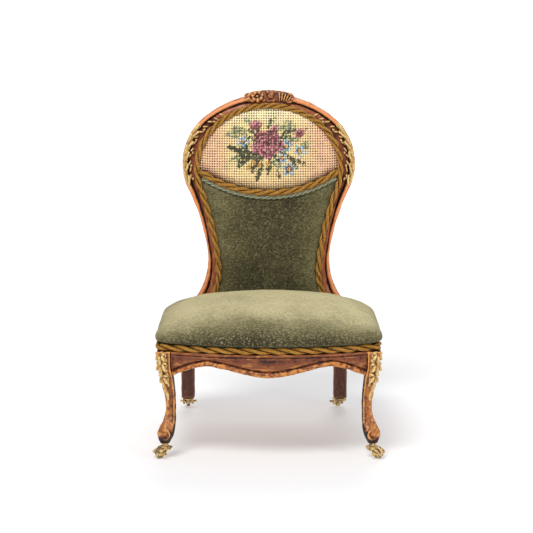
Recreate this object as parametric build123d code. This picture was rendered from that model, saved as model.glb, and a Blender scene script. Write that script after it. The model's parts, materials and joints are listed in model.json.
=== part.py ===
from build123d import *
import math
import os

# A 1:12 Victorian balloon-back parlour chair on four brass casters.
# Millimetres, +Z up, the front of the chair looks along -Y, +X is the chair's left-hand side as drawn
# from the front. The origin is on the floor, under the middle of the whole chair.

# ---------------------------------------------------------------- seat frame
seat_half_width = 24.9        # outer faces of the front legs
seat_rear_half_width = 23.3   # outer ends of the back rail
seat_front = -24.0            # front faces of the front legs' blocks
seat_rear = 22.0              # rear face of the back rail
rail_top = 23.3               # top of the seat frame above the floor
rail_thickness = 2.6
back_rail_thickness = 3.2
back_rail_height = 4.8
side_rail_height = 3.9
front_bow = 3.9               # how far the front rail bows forward between the legs
front_rail_centre_depth = 5.1  # rail height at the middle of its serpentine edge
front_rail_crown_depth = 2.8  # rail height at the two hollows
front_rail_end_depth = 4.3    # rail height beside the legs
crown_place = 0.62            # where the hollows lie, as a share of the rail's half length
board_thickness = 1.5

# ---------------------------------------------------------------- legs
block_width = 3.4             # square block at the top of a front leg, side to side
block_depth = 3.4
front_foot_clearance = 0.6    # underside of a front foot above its wheel
rear_foot_clearance = 0.2
rear_leg_width = 3.1
rear_leg_place = 18.0         # half the distance between the rear legs' middles
rear_leg_shift = -1.1         # the rear legs stand a little to one side, as glued by hand
leg_tenon = 2.2
knee_carving_thickness = 0.7

# ---------------------------------------------------------------- back
back_top = 73.62              # top of the crest rail above the floor
crest_radius = 24.5
shoulder_radius = 13.14
foot_radius = 16.2
outline_turns = (39.2, 77.8, 16.6, 68.1)    # degrees turned by crest, shoulder, waist and foot arcs
crest_width = 2.36            # outer edge to rope line at the top
rope_crest_tighter = 4.9      # the rope line's arcs are tighter than the frame's by these
rope_shoulder_tighter = 0.2
rope_foot_tighter = 3.6
rope_turns = (36.7, 74.6, 15.6, 65.5)
frame_lap = 0.6               # wood that carries on inside the rope line
frame_thickness = 3.0
back_bend_radius = 200.0      # the back is bent to this radius, seen from the side
back_foot_lean = 5.0          # degrees that the back leans where it meets the seat
back_foot_place = 18.9        # front face of the back at the rail's top
lower_rail_height = 3.0
pad_stand = 0.9               # how far the back pads stand in front of the frame
board_depth = 1.05            # front of the back board behind the frame's face
back_board_thickness = 1.1
rear_cover_thickness = 0.6
rear_cover_inset = 1.2
stile_tenon_width = 1.8
stile_tenon_depth = 2.0

# ---------------------------------------------------------------- medallion and carvings
medallion_depth = 21.42       # lowest point of the needlepoint under the crest rail's top
medallion_radius = 28.1       # of its lower edge
crest_carving_half_width = 6.4
crest_carving_rise = 1.25     # above the crest rail
carving_relief = 1.0          # in front of the frame's face
shoulder_carving_below = 5.92  # how far it reaches under the joint of crest rail and stile
shoulder_carving_above = 9.08
shoulder_carving_proud = 0.2  # outside the frame's edge
shoulder_carving_width = 1.6

# ---------------------------------------------------------------- ropes and upholstery
seat_rope_diameter = 1.6
frame_rope_width = 1.5
frame_rope_height = 1.25
green_cord_width = 0.75
cushion_overhang = 1.0        # widest part of the cushion outside the rope's line
cushion_corner = 6.0
seat_rope_corner = 2.4
cushion_height = 9.3
cushion_levels = (            # share of the height, inset at the sides, inset at the back, rear corner
    (0.32, 0.0, 0.8, 9.0), (0.50, 1.2, 3.5, 14.0), (0.66, 4.2, 8.0, 15.0),
    (0.81, 8.0, 12.0, 13.0), (0.93, 12.0, 16.5, 8.0), (1.0, 16.0, 20.5, 3.5),
)
cushion_clearance = 0.35      # between the cushion and the rope on the back
side_rail_setback = 0.2       # side rails stand this far inside the legs' outer faces

# ---------------------------------------------------------------- casters
wheel_diameter = 2.6
wheel_hub_width = 0.9
wheel_rim_width = 0.3
wheel_hub_diameter = 1.3
wheel_clearance = 0.6         # from the wheel's rim to the swivel's middle
yoke_gap = 1.7                # between the cheeks
cheek_thickness = 0.3
cheek_end_radius = 0.62
plate_thickness = 0.3
plate_over_axle = 0.9         # underside of the yoke's plate above the axle
plate_half_length = 0.8
axle_diameter = 0.5
axle_length = 4.0
stem_diameter = 0.8
stem_depth = 3.0              # how far the stem goes up into the leg
stem_collar_diameter = 1.5
stem_head_diameter = 1.3
stem_head_height = 0.2
front_stem_inset = 2.1        # front stem's middle inside the leg's outer face
front_stem_forward = 1.3      # and in front of the leg's block
rear_stem_inset = 1.5         # rear stem's middle in front of the back rail's rear face
swivel_headings = {           # degrees from straight forward, to which each wheel trails at rest
    "front_left": -38.0, "front_right": 41.0, "rear_left": 180.0, "rear_right": 195.0,
}

# ---------------------------------------------------------------- clearances
glue_gap = 0.05               # between glued curved pieces, and round tenons
running_gap = 0.05            # between pieces that turn on each other
press_gap = 0.02              # round a pin in its cheek

far = 90.0                    # longer than any piece, for cutting


# ---------------------------------------------------------------- helpers
def arc_chain(top, radii, turns, end_height):
    """Half outline from (0, top): two arcs to the right, two to the left, down to end_height."""
    crest_r, shoulder_r, foot_r = radii
    headings = [0.0]
    for side, turn in zip((-1, -1, 1, 1), turns):
        headings.append(headings[-1] + side * turn)
    cosines = [math.cos(math.radians(h)) for h in headings]
    fixed = crest_r * (cosines[1] - cosines[0]) + shoulder_r * (cosines[2] - cosines[1])
    fixed += foot_r * (cosines[3] - cosines[4])
    waist_r = (end_height - top - fixed) / (cosines[2] - cosines[3])
    edges = []
    x, z = 0.0, top
    for radius, heading, turn, side in zip(
        (crest_r, shoulder_r, waist_r, foot_r), headings, turns, (-1, -1, 1, 1)
    ):
        h = math.radians(heading)
        centre = (x - side * radius * math.sin(h), z + side * radius * math.cos(h))
        edges.append(CenterArc(centre, radius, heading - side * 90, side * turn))
        end = math.radians(heading + side * turn)
        x = centre[0] + side * radius * math.sin(end)
        z = centre[1] - side * radius * math.cos(end)
    return edges, (x, z)


def balloon(top, radii, turns, grow):
    """Closed balloon-shaped face, its outline moved outwards by grow."""
    crest_r, shoulder_r, foot_r = radii
    edges, end = arc_chain(
        top + grow, (crest_r + grow, shoulder_r + grow, foot_r - grow), turns, chain_end
    )
    mirrored = [edge.mirror(Plane.YZ) for edge in edges]
    base = Line(end, (-end[0], end[1]))
    return make_face(Wire(edges + mirrored + [base]).edges())


def frame_face(grow=0.0):
    """The frame's outer outline."""
    radii = (crest_radius, shoulder_radius, foot_radius)
    return balloon(back_top, radii, outline_turns, grow)


def rope_face(grow=0.0):
    """The rope's line round the inside of the frame."""
    radii = (
        crest_radius - rope_crest_tighter,
        shoulder_radius - rope_shoulder_tighter,
        foot_radius - rope_foot_tighter,
    )
    return balloon(back_top - crest_width, radii, rope_turns, grow)


def slab(front, rear):
    """Bent layer of the back, from front to rear, measured forward from the frame's face."""
    lean = math.radians(back_foot_lean)
    centre_y = back_foot_place + back_bend_radius * math.cos(lean)
    centre_z = rail_top - back_bend_radius * math.sin(lean)
    low, high = 179.5, 153.0
    outer = CenterArc((centre_y, centre_z), back_bend_radius + front, high, low - high)
    inner = CenterArc((centre_y, centre_z), back_bend_radius + rear, high, low - high)
    ends = [Line(outer @ 0, inner @ 0), Line(outer @ 1, inner @ 1)]
    profile = make_face(Wire([outer, inner] + ends).edges())
    return extrude(Plane.YZ * profile, far / 2, both=True)


def standing(face):
    """A face drawn in front view, as a prism along Y."""
    return extrude(Plane.XZ * face, far, both=True)


def between(low, high, left=-far, right=far):
    """Box that keeps only what lies between two heights and two sides."""
    size = (right - left, 2 * far, high - low)
    return Pos((left + right) / 2, 0, (low + high) / 2) * Box(*size)


def bar(x0, x1, y0, y1, z0, z1):
    return Pos((x0 + x1) / 2, (y0 + y1) / 2, (z0 + z1) / 2) * Box(x1 - x0, y1 - y0, z1 - z0)


def rod(diameter, z0, z1, x=0.0, y=0.0):
    return Pos(x, y, (z0 + z1) / 2) * Cylinder(diameter / 2, z1 - z0)


def at_height(points, z):
    """Flat polygon at a height."""
    return Pos(0, 0, z) * make_face(Polyline(*points, close=True).edges())


# ---------------------------------------------------------------- derived places
chain_end = rail_top - 1.0
back_rail_front = seat_rear - back_rail_thickness
side_rail_rear = back_rail_front
block_inner = seat_half_width - block_width
block_rear = seat_front + block_depth
front_rail_rear = block_rear - 0.6
bow_radius = (block_inner ** 2 + front_bow ** 2) / (2 * front_bow)
bow_centre = seat_front - front_bow + bow_radius
rail_end_under = rail_top - front_rail_end_depth
cushion_rear = back_foot_place - frame_rope_height - glue_gap - cushion_clearance
carving_drop = crest_width - frame_rope_width / 2 - glue_gap
rail_crown_x = crown_place * block_inner
split_height = back_top - crest_radius
split_height += (crest_radius - shoulder_radius) * math.cos(math.radians(outline_turns[0]))
lower_rail_top = rail_top + lower_rail_height
rope_rest = rail_top + glue_gap + seat_rope_diameter / 2
medallion_centre = back_top - medallion_depth + medallion_radius
rope_inner_edge = -frame_rope_width / 2 - glue_gap
axle_height = wheel_diameter / 2
trail = axle_height + wheel_clearance
plate_under = axle_height + plate_over_axle
front_leg_foot_height = wheel_diameter + front_foot_clearance
rear_leg_foot_height = wheel_diameter + rear_foot_clearance
front_stem_x = seat_half_width - front_stem_inset
front_stem_y = seat_front - front_stem_forward
rear_stem_y = seat_rear - rear_stem_inset
plate_top = plate_under + plate_thickness
head_top = plate_under - running_gap
stem_places = {
    "front_left": (-front_stem_x, front_stem_y, front_leg_foot_height),
    "front_right": (front_stem_x, front_stem_y, front_leg_foot_height),
    "rear_left": (rear_leg_shift - rear_leg_place, rear_stem_y, rear_leg_foot_height),
    "rear_right": (rear_leg_shift + rear_leg_place, rear_stem_y, rear_leg_foot_height),
}


# ---------------------------------------------------------------- seat
def side_x(y, inset):
    """Side of the seat at a depth, moved inwards by inset."""
    share = (y - seat_front) / (seat_rear - seat_front)
    return seat_half_width - share * (seat_half_width - seat_rear_half_width) - inset


def seat_outline(inset, corner):
    """Top view of the seat, bowed in front, moved inwards by inset from the frame's outer faces."""
    nose = bow_centre - bow_radius
    sides = [(side_x(nose, inset), nose), (side_x(seat_rear, inset), seat_rear)]
    sides += [(-x, y) for x, y in reversed(sides)]
    face = make_face(Polyline(*sides, close=True).edges())
    face &= Pos(0, bow_centre) * Circle(bow_radius - inset)
    front_corners = [v for v in face.vertices() if v.Y < 0]
    return fillet(front_corners, corner)


def make_front_rail():
    """Bowed rail with a serpentine lower edge, between the two leg blocks."""
    outer = Pos(0, bow_centre) * Circle(bow_radius)
    inner = Pos(0, bow_centre) * Circle(bow_radius - rail_thickness)
    half = block_inner
    rail = extrude(outer - inner, rail_top)
    rail &= bar(-half, half, seat_front - front_bow - 1, front_rail_rear, 0, rail_top)
    edge = Spline(
        (-half, rail_end_under),
        (-rail_crown_x, rail_top - front_rail_crown_depth),
        (0, rail_top - front_rail_centre_depth),
        (rail_crown_x, rail_top - front_rail_crown_depth),
        (half, rail_end_under),
    )
    top = Polyline((half, rail_end_under), (half, rail_top), (-half, rail_top), (-half, rail_end_under))
    return rail & standing(make_face([edge] + top.edges()))


def make_side_rail(side):
    """Straight rail from the leg block to the back rail."""
    ends = (block_rear, side_rail_rear)
    outer = [(side * side_x(y, side_rail_setback), y) for y in ends]
    inner = [(side * side_x(y, side_rail_setback + rail_thickness), y) for y in reversed(ends)]
    points = outer + inner
    return extrude(at_height(points, rail_top - side_rail_height), side_rail_height, dir=(0, 0, 1))


def stile_foot_x():
    """Middle of a stile's foot on the back rail."""
    ring = standing(frame_face() - rope_face(-frame_lap)) & between(rail_top, rail_top + 0.1, 0)
    box = ring.bounding_box()
    return (box.min.X + box.max.X) / 2


def make_back_rail(foot_x):
    """Back rail with mortises for the stiles above and the rear legs below."""
    rail = bar(-seat_rear_half_width, seat_rear_half_width, back_rail_front, seat_rear,
               rail_top - back_rail_height, rail_top)
    for side in (-1, 1):
        rail -= stile_tenon(side * foot_x, glue_gap)
        rail -= rear_leg_tenon(side, glue_gap)
    return rail


def make_seat_board():
    """Board let in between the rails, under the cushion."""
    inset = rail_thickness + side_rail_setback + glue_gap
    board = extrude(seat_outline(inset, seat_rope_corner), board_thickness)
    board &= bar(-far, far, -far, back_rail_front - glue_gap, 0, board_thickness)
    board = Pos(0, 0, rail_top - board_thickness) * board
    for side in (-1, 1):
        block = bar(block_inner - glue_gap, far, -far, block_rear + glue_gap, 0, far)
        board -= block if side > 0 else mirror(block, Plane.YZ)
    return board


def cushion_slice(inset, rear_inset, corner, height):
    """Level outline of the cushion, moved in from the rope's line and from the back."""
    outline = seat_outline(inset, seat_rope_corner)
    rear = cushion_rear - rear_inset
    face = outline & (Pos(0, rear - far / 2) * Rectangle(2 * far, far))
    rear_corners = [v for v in face.vertices() if v.Y > rear - 0.01]
    return Pos(0, 0, height) * fillet(rear_corners, corner)


def make_cushion():
    """Crowned cushion, tucked in above the rope, widest a little higher and falling to the back."""
    tuck = seat_rope_diameter + 2 * glue_gap
    base = rail_top + glue_gap
    shoulder = base + seat_rope_diameter + 0.2
    plinth = extrude(cushion_slice(tuck, 0, cushion_corner, base), shoulder - base, dir=(0, 0, 1))
    spread = seat_rope_diameter / 2 - cushion_overhang
    levels = [cushion_slice(spread + 0.5, 0.2, cushion_corner, shoulder)]
    for share, inset, rear_inset, corner in cushion_levels:
        height = base + share * cushion_height
        levels.append(cushion_slice(spread + inset, rear_inset, corner, height))
    return plinth + loft(levels, ruled=True)


def make_seat_rope():
    """Rope on the rail's top edge, round the front and both sides."""
    line = seat_outline(seat_rope_diameter / 2, seat_rope_corner)
    outer = Pos(0, 0, rope_rest) * line
    path = [e for e in outer.edges() if (e @ 0.5).Y < seat_rear - 1]
    wire = Wire(path)
    start = Plane(origin=wire @ 0, z_dir=wire % 0)
    tube = sweep(start * Circle(seat_rope_diameter / 2), path=wire)
    return tube & bar(-far, far, -far, back_rail_front, 0, far)


# ---------------------------------------------------------------- legs
def leg_levels():
    """Height, inner x, outer x, front y and rear y of a front leg, from block to foot."""
    x0, x1 = block_inner, seat_half_width
    y0, y1 = seat_front, block_rear
    foot = front_leg_foot_height
    tall = rail_top - foot
    sx, sy = front_stem_x, front_stem_y
    return (
        (rail_top, x0, x1, y0, y1),
        (rail_end_under + 1.6, x0, x1 - 0.3, y0 - 0.3, y1),
        (rail_end_under - 0.1, x0, x1 - 0.4, y0 - 0.5, y1),
        (foot + 0.70 * tall, x0 - 0.6, x1 - 0.8, y0 - 0.5, y1 - 0.4),
        (foot + 0.60 * tall, x0 - 0.8, x1 - 1.4, y0 - 0.4, y1 - 0.9),
        (foot + 0.48 * tall, x0 - 0.8, x1 - 1.9, y0 - 0.2, y1 - 1.4),
        (foot + 0.34 * tall, sx - 1.9, sx + 0.2, y0 - 0.3, y1 - 2.0),
        (foot + 0.24 * tall, sx - 2.0, sx + 0.6, sy + 0.3, y1 - 2.4),
        (foot + 0.17 * tall, sx - 1.9, sx + 1.4, sy - 1.0, sy + 1.8),
        (foot + 0.10 * tall, sx - 1.7, sx + 1.9, sy - 1.9, sy + 1.6),
        (foot + 0.04 * tall, sx - 1.4, sx + 1.6, sy - 1.6, sy + 1.4),
        (foot, sx - 1.1, sx + 1.2, sy - 1.2, sy + 1.2),
    )


def chamfer_of(level):
    return 0.38 * (level[2] - level[1])


def make_front_leg(side):
    """Cabriole leg, lofted from its block to its scrolled foot, with a hole for the stem."""
    faces = []
    for level in leg_levels():
        z, xi, xo, yf, yr = level
        c = chamfer_of(level)
        points = [(xi, yr), (xo, yr), (xo, yf + c), (xo - c, yf), (xi, yf)]
        faces.append(at_height(points, z))
    leg = loft(faces, ruled=True)
    leg -= rod(stem_diameter + 2 * press_gap, 0, front_leg_foot_height + stem_depth + 0.1,
               front_stem_x, front_stem_y)
    return leg if side > 0 else mirror(leg, Plane.YZ)


def make_knee_carving(side):
    """Carved leaf on the outer front corner of the knee."""
    faces = []
    shares = (1.0, 1.0, 1.0, 0.9, 0.6)
    for level, share in zip(leg_levels()[:5], shares):
        z, xo, yf = level[0], level[2], level[3]
        z = min(z, rail_top - 0.3)
        c = chamfer_of(level)
        gap, thick = glue_gap, knee_carving_thickness * share
        half = c / 2 * share
        mx, my = xo - c / 2, yf + c / 2
        d = math.sqrt(0.5)
        near = [(mx + half + gap * d, my + half - gap * d), (mx - half + gap * d, my - half - gap * d)]
        out = (gap + thick) * d
        away = [(mx - half + out, my - half - out), (mx + half + out, my + half - out)]
        faces.append(at_height(near + away, z))
    leaf = loft(faces, ruled=True)
    return leaf if side > 0 else mirror(leaf, Plane.YZ)


def rear_leg_tenon(side, gap):
    half = rear_leg_width / 2 - 0.7 + gap
    under = rail_top - back_rail_height
    middle_y = (back_rail_front + seat_rear) / 2
    x = rear_leg_shift + side * rear_leg_place
    return bar(x - half, x + half, middle_y - half, middle_y + half, under - 0.01, under + leg_tenon + gap)


def make_rear_leg(side):
    """Plain square leg, let into the back rail from below."""
    under = rail_top - back_rail_height
    middle_y = (back_rail_front + seat_rear) / 2
    half = rear_leg_width / 2
    x = rear_leg_shift + side * rear_leg_place
    top = [(x - half, middle_y - half), (x + half, middle_y - half),
           (x + half, middle_y + half), (x - half, middle_y + half)]
    foot = [(px, py - middle_y + rear_stem_y) for px, py in top]
    leg = loft([at_height(foot, rear_leg_foot_height), at_height(top, under)], ruled=True)
    leg += rear_leg_tenon(side, 0)
    hole_top = rear_leg_foot_height + stem_depth + 0.1
    return leg - rod(stem_diameter + 2 * press_gap, 0, hole_top, x, rear_stem_y)


# ---------------------------------------------------------------- back
def stile_tenon(x, gap):
    half = stile_tenon_width / 2 + gap
    middle_y = (back_rail_front + seat_rear) / 2
    return bar(x - half, x + half, middle_y - half, middle_y + half,
               rail_top - stile_tenon_depth - gap, rail_top + 0.3)


def make_ring():
    return standing(frame_face() - rope_face(-frame_lap)) & slab(0, -frame_thickness)


def make_stile(ring, side, foot_x):
    span = (0, far) if side > 0 else (-far, 0)
    return (ring & between(rail_top, split_height, *span)) + stile_tenon(side * foot_x, 0)


def make_lower_rail():
    """Rail between the stiles' feet, hidden behind the cushion."""
    block = standing(rope_face(-frame_lap - glue_gap)) & slab(0, -frame_thickness)
    return block & between(rail_top, lower_rail_top)


def opening_piece(front, rear, inset, low):
    """Layer that fills the frame's opening, from a height up."""
    return standing(rope_face(-inset)) & slab(front, rear) & between(low, far)


def medallion_disc(grow):
    return standing(Pos(0, medallion_centre) * Circle(medallion_radius + grow))


def make_back_layers():
    """Board, velvet pad, medallion and rear cover."""
    edge = -rope_inner_edge
    low = lower_rail_top + glue_gap
    board_front = -board_depth
    pad = opening_piece(pad_stand, board_front + glue_gap, edge, low)
    rope_band = frame_rope_width + glue_gap
    cord_band = rope_band + green_cord_width + glue_gap
    cover = standing(frame_face(-rear_cover_inset))
    cover &= slab(-frame_thickness - glue_gap, -frame_thickness - glue_gap - rear_cover_thickness)
    return {
        "back_board": opening_piece(board_front, board_front - back_board_thickness,
                                    frame_lap + glue_gap, low),
        "back_pad": pad - medallion_disc(cord_band + glue_gap),
        "medallion_pad": pad & medallion_disc(0),
        "medallion_rope": pad & medallion_disc(rope_band) - medallion_disc(glue_gap),
        "medallion_green_cord": pad & medallion_disc(cord_band) - medallion_disc(rope_band + glue_gap),
        "rear_cover": cover & between(rail_top + 0.5, far),
    }


def make_frame_rope():
    half = frame_rope_width / 2
    band = standing(rope_face(half) - rope_face(-half))
    return band & slab(frame_rope_height + glue_gap, glue_gap) & between(rail_top + 0.8, far)


def make_crest_carving():
    """Carved flowers on the crest: a front plate and a cap over the rail's top."""
    def band(high, low):
        return standing(frame_face(high) - frame_face(low))
    plate = band(crest_carving_rise, -carving_drop) & slab(carving_relief, glue_gap)
    cap = band(crest_carving_rise, glue_gap) & slab(carving_relief, glue_gap - 2)
    half = crest_carving_half_width
    return (plate + cap) & between(back_top - far / 4, far, -half, half)


def make_shoulder_carving(side):
    """Gilded leaf over the joint between crest rail and stile."""
    band = standing(frame_face(shoulder_carving_proud) - frame_face(-shoulder_carving_width))
    span = (0, far) if side > 0 else (-far, 0)
    leaf = band & slab(carving_relief, glue_gap)
    low = split_height - shoulder_carving_below
    return leaf & between(low, split_height + shoulder_carving_above, *span)


# ---------------------------------------------------------------- casters
def make_stem(foot_height):
    """Stem that stays in the leg: shank, collar under the leg and a rivet head under the yoke."""
    stem = rod(stem_diameter, head_top - stem_head_height / 2, foot_height + stem_depth)
    stem += rod(stem_collar_diameter, plate_top + running_gap, foot_height)
    return stem + rod(stem_head_diameter, head_top - stem_head_height, head_top)


def make_yoke():
    """Fork with its plate round the stem and a cheek on each side of the wheel."""
    half = yoke_gap / 2 + cheek_thickness
    yoke = bar(-half, half, -plate_half_length, plate_half_length, plate_under, plate_top)
    end = (-trail, axle_height)
    r = cheek_end_radius
    blade = make_face(Polyline(
        (-plate_half_length, plate_top), (plate_half_length, plate_top),
        (plate_half_length, plate_under), (end[0] + 0.45 * r, end[1] - 0.9 * r),
        (end[0] - 0.6 * r, end[1] + 0.8 * r), close=True).edges())
    blade += Pos(*end) * Circle(r)
    blade = extrude(Plane.YZ * blade, cheek_thickness)
    yoke += Pos(yoke_gap / 2, 0, 0) * blade
    yoke += Pos(-half, 0, 0) * blade
    yoke -= rod(stem_diameter + 2 * running_gap, 0, far)
    return yoke - axle(axle_diameter / 2 + press_gap, far)


def axle(radius, length):
    return Pos(0, -trail, axle_height) * Rot(0, 90, 0) * Cylinder(radius, length)


def make_wheel():
    """Wheel with a hub, tapered to a narrow rim."""
    r, hub, rim = wheel_diameter / 2, wheel_hub_width / 2, wheel_rim_width / 2
    bore = axle_diameter / 2 + running_gap
    half = [(bore, -hub), (wheel_hub_diameter / 2, -hub), (r, -rim)]
    profile = make_face(Polyline(*half, *[(x, -z) for x, z in reversed(half)], close=True).edges())
    wheel = revolve(Plane.XZ * profile, axis=Axis.Z)
    return Pos(0, -trail, axle_height) * Rot(0, 90, 0) * wheel


def make_casters():
    made = {}
    for place, (x, y, foot_height) in stem_places.items():
        turned = Pos(x, y, 0) * Rot(0, 0, swivel_headings[place])
        made["caster_stem_" + place] = Pos(x, y, 0) * make_stem(foot_height)
        made["caster_yoke_" + place] = turned * make_yoke()
        made["axle_pin_" + place] = turned * axle(axle_diameter / 2, axle_length)
        made["wheel_" + place] = turned * make_wheel()
    return made


# ---------------------------------------------------------------- the whole chair
def make_chair():
    ring = make_ring()
    foot_x = stile_foot_x()
    nodes = {
        "seat_front_rail": make_front_rail(),
        "seat_back_rail": make_back_rail(foot_x),
        "seat_board": make_seat_board(),
        "seat_cushion": make_cushion(),
        "seat_rope": make_seat_rope(),
        "crest_rail": ring & between(split_height, far),
        "back_lower_rail": make_lower_rail(),
        "crest_carving": make_crest_carving(),
        "frame_rope": make_frame_rope(),
    }
    for side, name in ((-1, "left"), (1, "right")):
        nodes["seat_side_rail_" + name] = make_side_rail(side)
        nodes["front_leg_" + name] = make_front_leg(side)
        nodes["knee_carving_" + name] = make_knee_carving(side)
        nodes["rear_leg_" + name] = make_rear_leg(side)
        nodes["stile_" + name] = make_stile(ring, side, foot_x)
        nodes["shoulder_carving_" + name] = make_shoulder_carving(side)
    nodes.update(make_back_layers())
    nodes.update(make_casters())
    return nodes


nodes = make_chair()
low = min(shape.bounding_box().min.Y for shape in nodes.values())
high = max(shape.bounding_box().max.Y for shape in nodes.values())
middle_y = (low + high) / 2

os.makedirs("parts", exist_ok=True)
for name, shape in nodes.items():
    export_step(Pos(0, -middle_y, 0) * shape, os.path.join("parts", name + ".step"))
print(len(nodes), "nodes, shifted by", round(-middle_y, 4))
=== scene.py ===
import json
import math
import random

import bmesh
import bpy
import numpy as np
from mathutils import Matrix, Vector, noise


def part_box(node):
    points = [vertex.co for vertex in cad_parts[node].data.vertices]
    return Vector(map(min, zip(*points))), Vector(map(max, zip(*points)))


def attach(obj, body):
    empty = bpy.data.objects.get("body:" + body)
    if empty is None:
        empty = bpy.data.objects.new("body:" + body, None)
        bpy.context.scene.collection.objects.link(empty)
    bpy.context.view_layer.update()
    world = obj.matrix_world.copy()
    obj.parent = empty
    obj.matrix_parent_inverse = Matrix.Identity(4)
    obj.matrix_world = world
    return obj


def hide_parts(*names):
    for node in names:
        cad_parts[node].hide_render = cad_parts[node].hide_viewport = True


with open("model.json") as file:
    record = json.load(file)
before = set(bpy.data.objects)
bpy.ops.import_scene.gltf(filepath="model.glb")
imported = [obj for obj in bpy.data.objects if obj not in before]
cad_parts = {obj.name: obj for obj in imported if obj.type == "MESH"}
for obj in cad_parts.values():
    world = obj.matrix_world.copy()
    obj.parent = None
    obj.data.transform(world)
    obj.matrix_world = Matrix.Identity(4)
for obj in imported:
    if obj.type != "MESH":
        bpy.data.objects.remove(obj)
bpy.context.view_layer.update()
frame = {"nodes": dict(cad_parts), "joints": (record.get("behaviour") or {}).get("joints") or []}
bpy.ops.object.select_all(action="DESELECT")

# Pieces are shaped in millimetres round the frame's own origin, and finished in metres.
MM = 0.001


def corners(node):
    """Lowest and highest corner of a CAD node, in millimetres."""
    low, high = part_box(node)
    return low / MM, high / MM


# ---------------------------------------------------------------- sizes, from the frame
rail_low, rail_high = corners("seat_back_rail")
rail_top = rail_high.z
seat_rear = rail_high.y
seat_rear_half = rail_high.x
leg_low, leg_high = corners("front_leg_right")
seat_half = leg_high.x
back_top = corners("crest_rail")[1].z
front_low, front_high = corners("seat_front_rail")
block_inner = front_high.x
rope_low, rope_high = corners("seat_rope")
cushion_low, cushion_high = corners("seat_cushion")
seat_nose = front_low.y
seat_depth = 46.0
seat_front = seat_rear - seat_depth    # front faces of the leg blocks
front_bow = seat_front - seat_nose
bow_radius = (block_inner ** 2 + front_bow ** 2) / (2 * front_bow)
bow_centre = seat_nose + bow_radius

# ---------------------------------------------------------------- sizes of the back
crest_radius, shoulder_radius, foot_radius = 24.5, 13.14, 16.2
outline_turns = (39.2, 77.8, 16.6, 68.1)
crest_width = 2.36                     # outer edge to the rope's line at the top
rope_radii = (19.6, 12.94, 12.6)
rope_turns = (36.7, 74.6, 15.6, 65.5)
frame_lap = 0.6                        # wood inside the rope's line
frame_thickness = 3.0
bend_radius = 200.0                    # the back is bent round a line far in front of it
lean = math.radians(5.0)
face_step = 3.1                        # from the rail's rear face to the back's front face, at the rail
bend_y = seat_rear - face_step + bend_radius * math.cos(lean)
bend_z = rail_top - bend_radius * math.sin(lean)
pad_stand = 0.9                        # the medallion's cords lie this far forward of the frame's face
rope_width = 1.5
medallion_radius = 28.1                # of the arc under the medallion
medallion_drop = 21.42                 # from the back's top to the arc's lowest point
medallion_centre = back_top - medallion_drop + medallion_radius
joint_turn = 0.653                     # share of the shoulder arc above the crest rail's joint


# ---------------------------------------------------------------- outlines
def arc_chain(top, radii, turns):
    """Four tangent arcs from the top's middle down to the rail, as centre, radius, heading, turn, side."""
    headings = [0.0]
    for side, turn in zip((-1, -1, 1, 1), turns):
        headings.append(headings[-1] + side * math.radians(turn))
    cosines = [math.cos(h) for h in headings]
    crest, shoulder, foot = radii
    drop = crest * (cosines[1] - cosines[0]) + shoulder * (cosines[2] - cosines[1])
    drop += foot * (cosines[3] - cosines[4])
    tenon = 1.0                        # the outline ends this far down in the rail
    waist = (rail_top - tenon - top - drop) / (cosines[2] - cosines[3])
    chain = []
    x, z = 0.0, top
    for radius, start, turn, side in zip((crest, shoulder, waist, foot), headings, turns, (-1, -1, 1, 1)):
        centre = (x - side * radius * math.sin(start), z + side * radius * math.cos(start))
        end = start + side * math.radians(turn)
        chain.append((centre, radius, start, end, side))
        x = centre[0] + side * radius * math.sin(end)
        z = centre[1] - side * radius * math.cos(end)
    return chain


def on_chain(chain, place, inwards=0.0):
    """Point on the outline: place 0 is the top's middle, 4 the foot; negative places are the other half."""
    half = min(abs(place), 3.9999)
    centre, radius, start, end, side = chain[int(half)]
    heading = start + (end - start) * (half - int(half))
    reach = radius + side * inwards
    x = centre[0] + side * reach * math.sin(heading)
    z = centre[1] - side * reach * math.cos(heading)
    return (x if place >= 0 else -x), z


outer_chain = arc_chain(back_top, (crest_radius, shoulder_radius, foot_radius), outline_turns)
rope_chain = arc_chain(back_top - crest_width, rope_radii, rope_turns)


def back_point(x, z, forward):
    """Point of the bent back, forward of the frame's face."""
    reach = (bend_radius + forward) ** 2 - (z - bend_z) ** 2
    return Vector((x, bend_y - math.sqrt(reach), z))


def place_at(chain, height, low=0.0, high=4.0, inwards=0.0):
    """Place on an outline at a height, searched between two places."""
    for _ in range(30):
        middle = (low + high) / 2
        if on_chain(chain, middle, inwards)[1] > height:
            low = middle
        else:
            high = middle
    return low


def half_width(z):
    """Half width inside the rope's line at a height."""
    return on_chain(rope_chain, place_at(rope_chain, z))[0]


def bow_y(x, behind=0.0):
    """Front of the bowed rail at a side place, moved in."""
    return bow_centre - math.sqrt((bow_radius - behind) ** 2 - x * x)


def side_x(y, inset=0.0):
    """Outer face of the side rail at a depth, moved in; the seat narrows to the back."""
    share = (y - seat_front) / (seat_rear - seat_front)
    return seat_half - share * (seat_half - seat_rear_half) - inset


def smooth(share):
    """0 up to 0 and 1 from 1, with a soft step between."""
    share = max(0.0, min(1.0, share))
    return share * share * (3 - 2 * share)


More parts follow.
